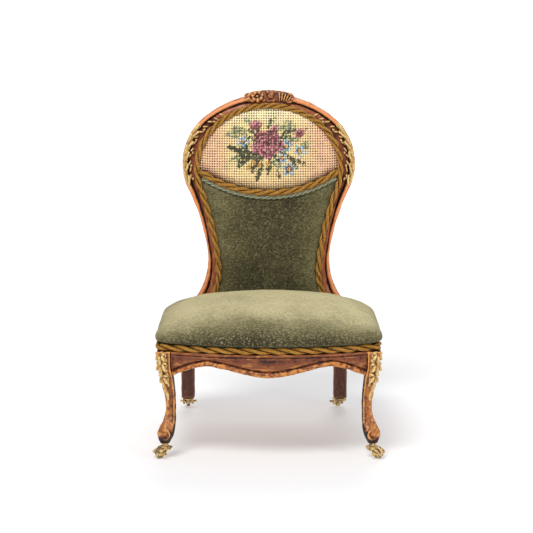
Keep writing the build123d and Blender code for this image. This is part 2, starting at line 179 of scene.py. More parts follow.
def through(table, key):
    """Rows of (key, values...), read smoothly between their keys."""
    rows = list(table)
    if key <= rows[0][0]:
        return list(rows[0][1:])
    for i in range(len(rows) - 1):
        if key <= rows[i + 1][0]:
            before = rows[max(i - 1, 0)]
            after = rows[min(i + 2, len(rows) - 1)]
            a, b = rows[i], rows[i + 1]
            t = (key - a[0]) / (b[0] - a[0])
            out = []
            for k in range(1, len(a)):
                slope_a = (b[k] - before[k]) / max(b[0] - before[0], 1e-9) * (b[0] - a[0])
                slope_b = (after[k] - a[k]) / max(after[0] - a[0], 1e-9) * (b[0] - a[0])
                t2, t3 = t * t, t * t * t
                out.append(a[k] * (2 * t3 - 3 * t2 + 1) + slope_a * (t3 - 2 * t2 + t)
                           + b[k] * (3 * t2 - 2 * t3) + slope_b * (t3 - t2))
            return out
    return list(rows[-1][1:])


def rough(point, size, seed=0.0):
    """Smooth noise from -1 to 1, with features of that size in millimetres."""
    return noise.noise(Vector(point) / size + Vector((seed, 2.3 * seed, 5.1 * seed)))


# ---------------------------------------------------------------- mesh tools
def active(piece):
    bpy.ops.object.select_all(action="DESELECT")
    piece.select_set(True)
    bpy.context.view_layer.objects.active = piece
    return piece


def editing(piece, *steps):
    """Runs operators in edit mode with everything selected."""
    active(piece)
    bpy.ops.object.mode_set(mode="EDIT")
    bpy.ops.mesh.select_all(action="SELECT")
    for step in steps:
        step()
    bpy.ops.object.mode_set(mode="OBJECT")
    return piece


def merge():
    bpy.ops.mesh.remove_doubles(threshold=0.0005)


def outwards():
    bpy.ops.mesh.select_all(action="SELECT")
    bpy.ops.mesh.normals_make_consistent(inside=False)


def close_holes():
    bpy.ops.mesh.select_all(action="DESELECT")
    bpy.ops.mesh.select_non_manifold()
    bpy.ops.mesh.fill_holes(sides=0)


def apply_modifier(piece, kind, **settings):
    active(piece)
    made = piece.modifiers.new(kind.lower(), kind)
    for name, value in settings.items():
        setattr(made, name, value)
    bpy.ops.object.modifier_apply(modifier=made.name)
    return piece


def formed(name, columns, rows, place, round_columns=False, mark=None):
    """A sheet of quads, each vertex set at place(across, along), both from 0 to 1; closed round if asked.
    mark(across, along) gives the layer hollow."""
    bpy.ops.mesh.primitive_grid_add(x_subdivisions=columns, y_subdivisions=rows, size=1)
    piece = bpy.context.object
    piece.name = name
    across = [v.co.x + 0.5 for v in piece.data.vertices]
    along = [v.co.y + 0.5 for v in piece.data.vertices]
    made = [place(u, v) for u, v in zip(across, along)]
    piece.data.vertices.foreach_set("co", np.array(made, np.float32).ravel())
    piece.data.update()
    piece.data.uv_layers.active.name = "along"
    if mark:
        store(piece, "hollow", [mark(u, v) for u, v in zip(across, along)])
    if round_columns:
        editing(piece, merge, close_holes, outwards)
    return piece


def joined(name, pieces):
    active(pieces[0])
    for piece in pieces:
        piece.select_set(True)
    if len(pieces) > 1:
        bpy.ops.object.join()
    made = bpy.context.object
    made.name = name
    return made


def moved(piece, change):
    """Every vertex put through a function of its place."""
    co = np.empty(len(piece.data.vertices) * 3, np.float32)
    piece.data.vertices.foreach_get("co", co)
    made = [change(Vector(p)) for p in co.reshape(-1, 3)]
    piece.data.vertices.foreach_set("co", np.array(made, np.float32).ravel())
    piece.data.update()
    return piece


def roughened(piece, size, depth, seed=0.0):
    """Small unevenness along the normals, as a hand tool leaves it."""
    normals = [v.normal.copy() for v in piece.data.vertices]
    places = [v.co.copy() for v in piece.data.vertices]
    made = [p + n * depth * rough(p, size, seed) for p, n in zip(places, normals)]
    piece.data.vertices.foreach_set("co", np.array(made, np.float32).ravel())
    piece.data.update()
    return piece


def mark_hollows(piece, spread=3):
    """Writes the attribute hollow: 0 in deep creases, 0.5 on the flat, 1 on sharp ridges."""
    mesh = piece.data
    count = len(mesh.vertices)
    co = np.empty(count * 3, np.float32)
    mesh.vertices.foreach_get("co", co)
    co = co.reshape(-1, 3).astype(float)
    normal = np.empty(count * 3, np.float32)
    mesh.vertices.foreach_get("normal", normal)
    normal = normal.reshape(-1, 3).astype(float)
    edges = np.empty(len(mesh.edges) * 2, np.int32)
    mesh.edges.foreach_get("vertices", edges)
    a, b = edges.reshape(-1, 2).T
    degree = np.maximum(np.bincount(a, minlength=count) + np.bincount(b, minlength=count), 1)

    def averaged(values):
        total = np.zeros_like(values)
        np.add.at(total, a, values[b])
        np.add.at(total, b, values[a])
        return total / (degree[:, None] if values.ndim > 1 else degree)

    wide = co.copy()
    for _ in range(spread * 3):
        wide = averaged(wide)
    depth = ((co - wide) * normal).sum(1)
    for _ in range(spread):
        depth = (depth + averaged(depth)) / 2
    level = 0.5 + depth / 0.25
    store(piece, "hollow", np.clip(level, 0, 1))
    return piece


def store(piece, name, values):
    """Writes a number for every vertex into the layer of that name."""
    layer = piece.data.attributes.get(name) or piece.data.attributes.new(name, "FLOAT", "POINT")
    layer.data.foreach_set("value", np.asarray(values, np.float32))


def stored(piece, name):
    values = np.empty(len(piece.data.vertices), np.float32)
    piece.data.attributes[name].data.foreach_get("value", values)
    return values


def finished(piece, finish, slot, body, *nodes, angle=50.0):
    """Smooths and scales a piece to metres, gives it its finish and puts it on its body."""
    active(piece)
    piece.data.transform(Matrix.Scale(MM, 4))
    bpy.ops.object.shade_smooth_by_angle(angle=math.radians(angle))
    piece.data.materials.clear()
    piece.data.materials.append(finish)
    if nodes:
        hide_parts(*nodes)
    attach(piece, body)
    piece.select_set(False)
    return piece


# ---------------------------------------------------------------- finishes
def paint(red, green, blue):
    """A colour as a paint chart gives it, from 0 to 255, for a shader's socket."""
    def linear(value):
        value /= 255
        return value / 12.92 if value <= 0.04045 else ((value + 0.055) / 1.055) ** 2.4
    return (linear(red), linear(green), linear(blue), 1.0)


class Amount:
    """A number in a finish's node tree, which adds up with Python's own signs."""

    def __init__(self, finish, socket):
        self.finish = finish
        self.socket = socket

    def worked(self, operation, first, second):
        node = self.finish.node("ShaderNodeMath", {"operation": operation}, {0: first, 1: second})
        return Amount(self.finish, node.outputs[0])

    def __add__(self, other):
        return self.worked("ADD", self, other)

    def __radd__(self, other):
        return self.worked("ADD", other, self)

    def __sub__(self, other):
        return self.worked("SUBTRACT", self, other)

    def __rsub__(self, other):
        return self.worked("SUBTRACT", other, self)

    def __mul__(self, other):
        return self.worked("MULTIPLY", self, other)

    def __rmul__(self, other):
        return self.worked("MULTIPLY", other, self)

    def above(self, start, end):
        """0 below start and 1 above end, with a soft step between."""
        values = {"Value": self, "From Min": start, "From Max": end}
        node = self.finish.node("ShaderNodeMapRange", {"interpolation_type": "SMOOTHSTEP"}, values)
        return Amount(self.finish, node.outputs["Result"])


class Finish:
    """A material's node tree, round its one Principled shader."""

    def __init__(self, name, constants):
        self.material = bpy.data.materials.new(name)
        self.material.use_nodes = True
        self.tree = self.material.node_tree
        self.shader = self.tree.nodes["Principled BSDF"]
        for socket, value in constants.items():
            self.shader.inputs[socket].default_value = value
        self.place = self.node("ShaderNodeTexCoord").outputs["Object"]

    def node(self, kind, settings=None, values=None):
        """Any node: its settings first, then the values or links of its sockets."""
        made = self.tree.nodes.new(kind)
        for name, value in (settings or {}).items():
            setattr(made, name, value)
        for name, value in (values or {}).items():
            if isinstance(value, Amount):
                value = value.socket
            if isinstance(value, bpy.types.NodeSocket):
                self.tree.links.new(value, made.inputs[name])
            else:
                made.inputs[name].default_value = value
        return made

    def grain(self, size, detail=3.0, stretch=(1, 1, 1), roughness=0.55):
        """Noise with features of that size in millimetres, drawn out along an axis where stretch is large."""
        scale = tuple(1 / s for s in stretch)
        turned = self.node("ShaderNodeMapping", None, {"Vector": self.place, "Scale": scale})
        values = {"Vector": turned.outputs[0], "Scale": 1 / (size * MM), "Detail": detail,
                  "Roughness": roughness}
        return Amount(self, self.node("ShaderNodeTexNoise", None, values).outputs[0])

    def layer(self, name):
        """A number painted on the piece's vertices."""
        node = self.node("ShaderNodeAttribute", {"attribute_name": name})
        return Amount(self, node.outputs["Fac"])

    def colours(self, name):
        """Colours painted on the piece's vertices."""
        return self.node("ShaderNodeAttribute", {"attribute_name": name}).outputs["Color"]

    def along(self):
        """The piece's own map: across the shape and along it."""
        uv = self.node("ShaderNodeUVMap", {"uv_map": "along"}).outputs[0]
        split = self.node("ShaderNodeSeparateXYZ", None, {"Vector": uv})
        return Amount(self, split.outputs[0]), Amount(self, split.outputs[1])

    def wave(self, amount):
        """Sine of an amount given in turns."""
        node = self.node("ShaderNodeMath", {"operation": "SINE"}, {0: amount * (2 * math.pi)})
        return Amount(self, node.outputs[0])

    def mix(self, share, first, second):
        values = {0: share, 6: first, 7: second}
        return self.node("ShaderNodeMix", {"data_type": "RGBA"}, values).outputs[2]

    def relief(self, height, depth, strength=1.0, under=None):
        """Bump of that depth in millimetres."""
        values = {"Height": height, "Distance": depth * MM, "Strength": strength}
        if under is not None:
            values["Normal"] = under
        return self.node("ShaderNodeBump", None, values).outputs[0]

    def feed(self, colour, roughness=None, normal=None, metallic=None):
        inputs = {"Base Color": colour, "Roughness": roughness, "Normal": normal, "Metallic": metallic}
        for name, value in inputs.items():
            if value is None:
                continue
            if isinstance(value, Amount):
                value = value.socket
            self.tree.links.new(value, self.shader.inputs[name])
        return self.material


def stained_wood(name, deep, body, warm, light, drawn=(1, 1, 6), band=None, shade=0.0,
                 worn=0.0):
    """Hand-stained carved wood: wax left dark in the hollows, rubbed light on the edges.
    band is where, across the piece's map, the stain's own colour is left, by a share of at least shade;
    worn above 0 rubs the whole lighter, and below 0 leaves it darker."""
    f = Finish(name, {"Specular IOR Level": 0.4, "Coat Weight": 0.08, "Coat Roughness": 0.30})
    hollow = f.layer("hollow")
    streaks = f.grain(0.55, 5, drawn)
    patches = f.grain(3.2, 3)
    blots = f.grain(0.6, 4, (1, 1, 1.6), 0.7)
    rubbed = hollow + worn
    colour = f.mix((patches + (rubbed - 0.5) * 0.8).above(0.38, 0.62), body, warm)
    colour = f.mix((streaks + (rubbed - 0.5) * 1.9).above(0.54, 0.76), colour, light)
    if band:
        across, along = f.along()
        shaded = across.above(band[0], band[0] + 0.02) * (1 - across.above(band[1], band[1] + 0.02))
        colour = f.mix(shaded * (shade + streaks.above(0.35, 0.55) * (0.9 - shade)), colour, body)
    colour = f.mix((blots - (rubbed - 0.5) * 0.3).above(0.57, 0.67) * 0.8, colour, deep)
    colour = f.mix(1 - (rubbed + (streaks - 0.5) * 0.5).above(0.26, 0.44), colour, deep)
    rough_level = 0.62 - hollow.above(0.45, 0.8) * 0.22 + (streaks - 0.5) * 0.2
    fine = f.relief(streaks, 0.10, 0.6)
    return f.feed(colour, rough_level, f.relief(f.grain(0.18, 3), 0.04, 0.5, fine))


def gilding(name):
    """Soft gold leaf rubbed over dark stain."""
    f = Finish(name, {"Specular IOR Level": 0.6})
    hollow = f.layer("hollow")
    worn = f.grain(0.45, 4, (1, 1, 1), 0.65)
    patches = f.grain(1.8, 3)
    gold = f.mix(patches.above(0.35, 0.65), paint(182, 132, 64), paint(212, 174, 104))
    colour = f.mix(worn.above(0.50, 0.62) * 0.75, gold, paint(150, 88, 48))
    colour = f.mix((hollow + (worn - 0.5) * 0.4).above(0.58, 0.74) * 0.8, colour, paint(238, 210, 142))
    dark = 1 - (hollow + (worn - 0.5) * 0.5).above(0.32, 0.50)
    colour = f.mix(dark, colour, paint(54, 24, 15))
    metal = (1 - dark) * 0.15
    return f.feed(colour, 0.38 + dark * 0.3 + (worn - 0.5) * 0.3, f.relief(worn, 0.06, 0.6), metal)


def aged_brass(name, grime_and_shade):
    """Rough cast brass; the higher its second number, from 0 to 1, the more of it is dark, with grime and,
    where a part sits in shade, painted shade.
    """
    f = Finish(name, {"Specular IOR Level": 0.6})
    hollow = f.layer("hollow")
    worn = f.grain(0.4, 4, (1, 1, 1), 0.65)
    colour = f.mix(worn.above(0.42, 0.62), paint(246, 218, 158), paint(196, 156, 96))
    smudge_start = 0.60 - 0.16 * grime_and_shade
    # dark spots: grime, and on the wheels also painted shade
    smudges_and_shade = f.grain(0.9, 3).above(smudge_start, smudge_start + 0.10)
    colour = f.mix(smudges_and_shade * 0.85, colour, paint(88, 64, 38))
    colour = f.mix(1 - hollow.above(0.34, 0.50), colour, paint(46, 34, 24))
    return f.feed(colour, 0.34 + worn * 0.3, f.relief(worn, 0.09, 0.8), 0.50 - worn * 0.25)


def velvet(name, dark, middle, light, tuft):
    """Short pile in tufts of that size: fine flecks, broad shading where the pile was brushed, and a layer of
    painted light, high where the pile is painted pale as if lit, and low where it is painted dark as if in
    shade."""
    f = Finish(name, {"Roughness": 0.95, "Specular IOR Level": 0.15, "Sheen Weight": 0.55,
                      "Sheen Roughness": 0.45, "Sheen Tint": paint(196, 192, 150)})
    flecks = f.grain(tuft, 4, (1.3, 1, 1), 0.75)
    tufts = f.grain(3 * tuft, 3, (1.6, 1, 1), 0.6)
    brushed = f.grain(9.0, 2)
    # painted light and shade, read from the vertices: pale where painted lit, dark where painted in shade
    pale = f.layer("painted_light")
    shade = pale + (brushed - 0.5) * 0.45 + (tufts - 0.5) * 0.35
    colour = f.mix(shade.above(0.0, 0.60), dark, middle)
    colour = f.mix(shade.above(0.45, 1.05), colour, light)
    contrast = 0.95 - pale * 0.70
    colour = f.mix((1 - flecks.above(0.40, 0.55)) * contrast, colour, dark)
    colour = f.mix(flecks.above(0.52, 0.66) * (0.52 - pale * 0.30), colour, light)
    normal = f.relief(flecks, 0.26, 0.9, f.relief(tufts, 0.14, 0.5))
    return f.feed(colour, 0.92 - tufts * 0.1, normal)


def needlework(name):
    """Cotton stitches over open canvas; colours and holes are painted on the vertices, and the holes' dark is
    painted shade.
    """
    f = Finish(name, {"Specular IOR Level": 0.25, "Sheen Weight": 0.1})
    fibres = f.grain(0.12, 3, (1, 1, 1), 0.6)
    colour = f.mix((fibres - 0.5) * 0.6 + 0.08, f.colours("thread"), paint(250, 236, 206))
    # painted shade in the open holes of the canvas
    colour = f.mix(f.layer("hole").above(0.10, 0.80), colour, paint(70, 38, 18))
    return f.feed(colour, 0.85 - fibres * 0.1, f.relief(fibres, 0.05, 0.6))


def twisted_thread(name, dark, middle, light):
    """Silky two-ply cord; its fibres wind round each strand."""
    f = Finish(name, {"Specular IOR Level": 0.25, "Sheen Weight": 0.08, "Sheen Roughness": 0.35})
    fibres_round = 7
    fibres = f.wave(f.along()[0] * fibres_round)
    hollow = f.layer("hollow")
    fluff = f.grain(0.35, 3, (1, 1, 1), 0.6)
    colour = f.mix(fluff.above(0.35, 0.65), middle, light)
    colour = f.mix((0.5 - fibres * 0.5).above(0.25, 0.9) * 0.62, colour, dark)
    # painted shade in the grooves between the plies
    colour = f.mix(1 - (hollow + (fluff - 0.5) * 0.4).above(0.10, 0.62), colour, dark)
    normal = f.relief(fibres, 0.10, 0.9, f.relief(fluff, 0.10, 0.6))
    return f.feed(colour, 0.55 + fluff * 0.2, normal)


def plain_wood(name, dark, light):
    """Thin plain board with its grain along the chair's width."""
    f = Finish(name, {"Specular IOR Level": 0.35})
    streaks = f.grain(0.5, 5, (14, 1, 1), 0.6)
    colour = f.mix(streaks.above(0.38, 0.62), dark, light)
    colour = f.mix(f.grain(4.0, 2).above(0.5, 0.75) * 0.4, colour, dark)
    return f.feed(colour, 0.72 - streaks * 0.15, f.relief(streaks, 0.08, 0.5))


def woven_cloth(name):
    """Plain-weave cotton on the outside back."""
    f = Finish(name, {"Specular IOR Level": 0.2, "Sheen Weight": 0.2})
    split = f.node("ShaderNodeSeparateXYZ", None, {"Vector": f.place})
    threads = 1 / (0.42 * MM)
    warp = f.wave(Amount(f, split.outputs[0]) * threads)
    weft = f.wave(Amount(f, split.outputs[2]) * threads)
    weave = warp * weft
    fluff = f.grain(0.5, 3, (1, 1, 1), 0.6)
    colour = f.mix(weave * 0.5 + 0.5, paint(104, 98, 66), paint(146, 140, 102))
    colour = f.mix(f.grain(7.0, 3).above(0.4, 0.7) * 0.4, colour, paint(96, 90, 62))
    return f.feed(colour, 0.9 - fluff * 0.1, f.relief(weave + fluff * 0.6, 0.08, 0.8))


frame_wood = stained_wood("frame_wood", paint(46, 20, 12), paint(132, 64, 36), paint(186, 98, 52),
                          paint(228, 146, 90), (1, 1, 6), (0.45, 0.76), 0.45, -0.02)
rail_wood = stained_wood("rail_wood", paint(42, 18, 10), paint(114, 56, 31), paint(152, 84, 44),
                         paint(206, 134, 60), (6, 1, 1), (0.48, 0.95), 0.25, -0.04)
leg_wood = stained_wood("leg_wood", paint(34, 17, 10), paint(134, 74, 42), paint(176, 108, 52),
                        paint(212, 150, 76), (1, 1, 6), None, 0.0, -0.05)
dark_wood = stained_wood("dark_wood", paint(36, 20, 14), paint(74, 42, 32), paint(92, 52, 38),
                         paint(116, 72, 52))
crest_finish = stained_wood("crest_carving_wood", paint(32, 15, 10), paint(128, 66, 38),
                            paint(170, 98, 52), paint(218, 160, 96), (1, 1, 1), None, 0.0, -0.07)
side_wood = stained_wood("side_rail_wood", paint(40, 18, 12), paint(100, 48, 28), paint(150, 84, 44),
                         paint(202, 130, 62), (1, 6, 1), (0.48, 0.95), 0.35, -0.03)
gilded = gilding("gilded_carving")
brass = aged_brass("aged_brass", 0.4)
# the wheels' brass is painted darker, with grime and with painted shade for the cleft between the cheeks
grimy_shaded_brass = aged_brass("grimy_shaded_brass", 0.95)
seat_velvet = velvet("seat_velvet", paint(52, 48, 30), paint(124, 117, 82), paint(214, 202, 158), 0.32)
back_velvet = velvet("back_velvet", paint(42, 39, 24), paint(98, 92, 62), paint(156, 149, 108), 0.40)
needlepoint = needlework("needlepoint")
gold_thread = twisted_thread("gold_thread", paint(92, 54, 12), paint(194, 132, 36), paint(232, 174, 74))
green_thread = twisted_thread("green_thread", paint(104, 112, 76), paint(186, 192, 148),
                              paint(228, 230, 202))
inner_board = plain_wood("inner_board", paint(150, 112, 70), paint(196, 160, 112))
outside_cloth = woven_cloth("outside_cloth")


# ---------------------------------------------------------------- camera, floor and light
def make_camera():
    """The chair is seen from its front, a little from above, with a long lens."""
    aim = Vector((-0.52, seat_rear - 22.0, 37.95)) * MM
    rise = math.radians(10.5)
    distance = 0.6
    camera = bpy.data.objects.new("camera", bpy.data.cameras.new("camera"))
    camera.location = aim + distance * Vector((0, -math.cos(rise), math.sin(rise)))
    camera.rotation_euler = (math.radians(90) - rise, 0, 0)
    camera.data.sensor_width = 36
    camera.data.lens = 178.3
    camera.data.clip_start = 0.01
    bpy.context.scene.collection.objects.link(camera)
    bpy.context.scene.camera = camera


def make_light(name, place, size, power, tint):
    """Round lamp, in metres and watts, turned to the chair's middle."""
    light = bpy.data.lights.new(name, "AREA")
    light.shape = "DISK"
    light.size = size
    light.energy = power
    light.color = tint
    lamp = bpy.data.objects.new(name, light)
    lamp.location = place
    lamp.rotation_euler = (Vector((0, 0, 0.035)) - Vector(place)).to_track_quat("-Z", "Y").to_euler()
    bpy.context.scene.collection.objects.link(lamp)


sky_light = 0.42                       # light from all round, under the lamps


def make_studio():
    """Pale floor that glows with painted light, brighter away from the chair, an even white surround and
    three lamps.
    """
    bpy.ops.mesh.primitive_plane_add(size=8)
    floor = bpy.context.object
    floor.name = "floor"
    f = Finish("floor_paper", {"Roughness": 0.6, "Specular IOR Level": 0.2})
    tone = f.grain(60, 2)
    # painted light: the floor glows, dimmer near the chair and brighter away from it
    away = f.node("ShaderNodeVectorMath", {"operation": "LENGTH"}, {0: f.place}).outputs["Value"]
    glow = Amount(f, away).above(0.04, 0.45)
    f.shader.inputs["Emission Strength"].default_value = 1.0
    shine = f.mix(glow, paint(152, 153, 155), paint(215, 215, 215))
    f.tree.links.new(shine, f.shader.inputs["Emission Color"])
    floor.data.materials.append(f.feed(f.mix(tone, paint(212, 212, 214), paint(218, 218, 219))))
    floor.select_set(False)
    world = bpy.data.worlds.new("studio")
    world.use_nodes = True
    tree = world.node_tree
    path = tree.nodes.new("ShaderNodeLightPath")
    level = tree.nodes.new("ShaderNodeMapRange")
    level.inputs["To Min"].default_value = sky_light
    level.inputs["To Max"].default_value = 1.0
    tree.links.new(path.outputs["Is Camera Ray"], level.inputs["Value"])
    tree.links.new(level.outputs["Result"], tree.nodes["Background"].inputs["Strength"])
    tree.nodes["Background"].inputs["Color"].default_value = (1.0, 1.0, 1.0, 1.0)
    bpy.context.scene.world = world
    bpy.context.scene.view_settings.view_transform = "Standard"
    make_light("key", (-0.16, -0.34, 0.70), 0.34, 3.6, (1.0, 0.99, 0.97))
    make_light("fill", (0.50, -0.50, 0.22), 0.30, 0.9, (1.0, 0.98, 0.96))
    make_light("rim", (0.05, 0.50, 0.45), 0.30, 1.0, (1.0, 1.0, 1.0))


# ---------------------------------------------------------------- the carved frame of the back
# Section of the moulding: place in from the outer edge, and forward. Negative places and those after the
# sunk band count from the inner edge.
moulding = (
    (0.9, -3.0), (0.35, -2.95), (0.08, -2.7), (0.0, -2.2), (0.0, -1.2), (0.0, -0.6), (0.06, -0.3),
    (0.2, -0.06), (0.42, 0.1), (0.64, 0.12), (0.84, 0.0), (0.98, -0.22), (1.04, -0.5), (1.1, -0.85),
    (1.4, -0.9),
    (1.48, -0.6), (1.54, -0.30), (1.68, -0.16), (-0.62, -0.14), (-0.3, -0.16), (-0.06, -0.3), (0.0, -0.6),
    (0.0, -1.4), (0.0, -2.4), (-0.1, -2.95), (-0.5, -3.0),
)
groove_starts, groove_ends = 12, 20    # points of the section that the sunk band takes back
foot_place = 3.985                     # where the outline meets the rail
sunk_shoulder = (0.68, 1.10, 2.05, 2.55)   # the band starts, is full, fades and ends at these places
sunk_depth = 0.95


def moulding_point(place, row):
    """Point of the moulded section; row counts through the section's points and wraps round."""
    whole = int(row) % len(moulding)
    following = (whole + 1) % len(moulding)
    share = row - int(row)
    outer = Vector(on_chain(outer_chain, place))
    inner = Vector(on_chain(rope_chain, place, frame_lap))
    width = (outer - inner).length
    start, full, fading, end = sunk_shoulder
    sunk = smooth((abs(place) - start) / (full - start)) * smooth((end - abs(place)) / (end - fading))
    spots = []
    for k in (whole, following):
        across, forward = moulding[k]
        from_inner = across < 0 or k >= groove_ends + 1
        across = width + across if from_inner else across
        if groove_starts <= k <= groove_ends:
            forward -= sunk_depth * sunk
        spots.append(Vector((across, forward)))
    spot = spots[0].lerp(spots[1], share)
    flat = outer.lerp(inner, spot.x / width)
    point = back_point(flat.x, flat.y, spot.y)
    point.z = max(point.z, rail_top)
    return point


def make_frame_part(name, first, last):
    """One stick of the moulded frame, between two places on its outline."""

    def place(u, v):
        return moulding_point(first + (last - first) * v, u * len(moulding))
    rows = int(abs(last - first) * 64)
    piece = formed(name, 2 * len(moulding), rows, place, round_columns=True)
    roughened(piece, 2.2, 0.10, 3.0)
    roughened(piece, 0.7, 0.06, 8.0)
    mark_hollows(piece, 3)
    darken_deep(piece)
    return finished(piece, frame_wood, "stained_wood", "chair", name)


def darken_deep(piece):
    """The frame's front is darkened wherever it lies well behind the face."""
    values = stored(piece, "hollow")
    for k, vertex in enumerate(piece.data.vertices):
        p = vertex.co
        forward = math.hypot(p.y - bend_y, p.z - bend_z) - bend_radius
        if vertex.normal.y < -0.1:
            values[k] -= 0.42 * smooth((-0.30 - forward) / 0.5)
    store(piece, "hollow", values)


# ---------------------------------------------------------------- carving
def lobe(middle, basis, length, width, height, turn=0.0, rise=0.0, segments=14):
    """A leaf or petal: a flattened ball, turned in its plane and raised at its far end."""
    bpy.ops.mesh.primitive_uv_sphere_add(segments=segments, ring_count=8, radius=0.5)
    piece = bpy.context.object
    grow = Matrix.Diagonal((length, width, height, 1.0))
    swing = Matrix.Rotation(math.radians(turn), 4, "Z") @ Matrix.Rotation(math.radians(-rise), 4, "Y")
    piece.data.transform(Matrix.Translation(middle) @ basis.to_4x4() @ swing @ grow)
    return piece


def basis_of(along, across):
    """Axes of a carving: along it, across it and out of the wood."""
    along = along.normalized()
    out = along.cross(across).normalized()
    across = out.cross(along)
    return Matrix((along, across, out)).transposed()


def carved(name, lobes, voxel=0.1, grit=0.05):
    """Lobes worked into one carved relief."""
    piece = joined(name, lobes)
    apply_modifier(piece, "REMESH", mode="VOXEL", voxel_size=voxel)
    apply_modifier(piece, "SMOOTH", factor=0.5, iterations=2)
    roughened(piece, 0.5, grit, 4.0)
    editing(piece, outwards)
    mark_hollows(piece, 3)
    return piece


def edge_spot(place, inwards, forward):
    """Point and axes on the frame's face: along the outline, inwards and out of the wood."""
    here = back_point(*on_chain(outer_chain, place, inwards), forward)
    ahead = back_point(*on_chain(outer_chain, place + 0.01, inwards), forward)
    inside = back_point(*on_chain(outer_chain, place, inwards + 0.1), forward)
    along, across = (ahead - here).normalized(), (inside - here).normalized()
    out = along.cross(across)
    if out.y > 0:
        across = -across
    return here, basis_of(along, across)


def make_crest_carving():
    """A bud between a rosette and a ribbed shell, with leaves at each end."""
    spots = []
    crest_length = crest_radius * math.radians(outline_turns[0])

    def add(x, inwards, forward, length, width, height, turn=0.0, rise=0.0):
        here, basis = edge_spot(x / crest_length, inwards, forward)
        spots.append(lobe(here, basis, length, width, height, turn, rise))

    for k in range(9):
        x = -4.8 + 1.2 * k
        add(x, 0.35, 0.15, 2.2, 2.7 - 0.12 * abs(k - 4) ** 1.4, 0.9)
        add(x, -0.35, -0.75, 2.0, 1.5 - 0.06 * abs(k - 4) ** 1.5, 1.9)
    add(0.55, -0.1, 0.75, 1.9, 1.5, 1.3, 80, 10)
    add(0.05, -0.55, 0.35, 1.1, 1.5, 1.2, 60)
    add(1.15, -0.55, 0.35, 1.1, 1.5, 1.2, 120)
    petals, rosette_x = 7, -2.7
    for k in range(petals):
        turn = 360 / petals * k + 12
        x = rosette_x + 1.0 * math.cos(math.radians(turn))
        inwards = 0.1 - 0.95 * math.sin(math.radians(turn))
        add(x, inwards, 0.75, 1.15, 0.8, 0.75, -turn, 28)
    add(rosette_x, 0.1, 0.62, 0.55, 0.55, 0.5)
    for k in range(5):
        x = 2.55 + 0.62 * k
        add(x, 0.15 + 0.03 * k, 0.72, 2.3 - 0.15 * k, 0.42, 0.95, 98 - 7 * k, 6)
    for k, (x, inwards, turn) in enumerate(((-4.7, -0.25, 24), (-5.2, 0.45, 4), (-4.3, 0.85, -24))):
        add(x, inwards, 0.5, 2.1 - 0.3 * k, 0.8, 0.85, turn, 12)
    for k, (x, inwards, turn) in enumerate(((5.35, -0.35, -30), (5.9, 0.35, -8), (5.1, 0.9, 20))):
        add(x, inwards, 0.5, 2.2 - 0.3 * k, 0.95, 0.9, turn, -10)
    piece = carved("crest_carving_relief", spots, 0.09, 0.05)
    return finished(piece, crest_finish, "stained_wood", "chair", "crest_carving")


def make_shoulder_carving(name, side):
    """Gilded leaves down the outside of the shoulder, with ribs reaching over the sunk band."""
    spots = []
    top, bottom = place_at(outer_chain, back_top - 6.9), place_at(outer_chain, back_top - 21.4)
    draw = random.Random(21 + side)

    def add(share, inwards, forward, length, width, height, turn=0.0, rise=0.0):
        here, basis = edge_spot(side * (top + (bottom - top) * share), inwards, forward)
        spots.append(lobe(here, basis, length, width, height, side * turn, rise))

    for k in range(12):
        share = k / 11
        swell = math.sin(math.pi * (0.14 + 0.78 * share))
        add(share, 0.62, -0.16, 2.1, 1.15 * swell + 0.25, 0.9 * swell + 0.25)
    for k in range(5):
        share = 0.05 + 0.19 * k
        add(share, 0.40, 0.14, 3.5, 0.80, 0.62, -1 - draw.uniform(0, 3), 4)
        add(share + 0.08, 0.98, 0.16, 2.8, 0.66, 0.66, 14 + draw.uniform(0, 8), 6)
    for k in range(12):
        share = -0.42 + 0.115 * k
        reach = 1.72 + 0.16 * math.sin(2.1 * k)
        add(share, reach, -0.55, 1.35, 0.44, 0.75, 52 - 3 * k + draw.uniform(-8, 8), -6)
        if k % 2:
            add(share + 0.05, reach + 0.35, -0.55, 0.75, 0.5, 0.7, 10)
    piece = carved(name + "_relief", spots, 0.1, 0.045)
    return finished(piece, gilded, "gilded_carving", "chair", name)


# ---------------------------------------------------------------- twisted cords
def make_twist(name, line, length, strand, lay, squeeze, pitch, rows_per_mm=5.0, plies=2, turn=0.0):
    """Plies wound round a line; strand is a ply's radius, lay its distance from the line's middle.
    The grooves between the plies are marked deep in the layer hollow, which the thread's finish paints with
    shade."""
    made = []
    for ply in range(plies):
        def wound(u, v, ply=ply):
            swing = 2 * math.pi * (v * length / pitch + ply / plies) + turn
            ring = 2 * math.pi * (u - v * length / (0.55 * pitch))
            return swing, ring

        def place(u, v, ply=ply, wound=wound):
            point, side, out = line(v)
            swing, ring = wound(u, v)
            loose = 1 + 0.10 * rough((v * length, ply * 7.0, 0), 4.0)
            thick = strand * loose * (1 + 0.05 * math.cos(7 * ring))
            across = lay * math.cos(swing) + thick * math.cos(ring)
            forward = lay * math.sin(swing) + thick * math.sin(ring)
            return point + side * across + out * forward * squeeze

        def mark(u, v, wound=wound):
            swing, ring = wound(u, v)
            reach = math.hypot(lay * math.cos(swing) + strand * math.cos(ring),
                               lay * math.sin(swing) + strand * math.sin(ring))
            return smooth((reach / (lay + strand) - 0.30) / 0.45)
        rows = int(length * rows_per_mm)
        made.append(formed(name, 14, rows, place, True, mark))
    return joined(name, made)


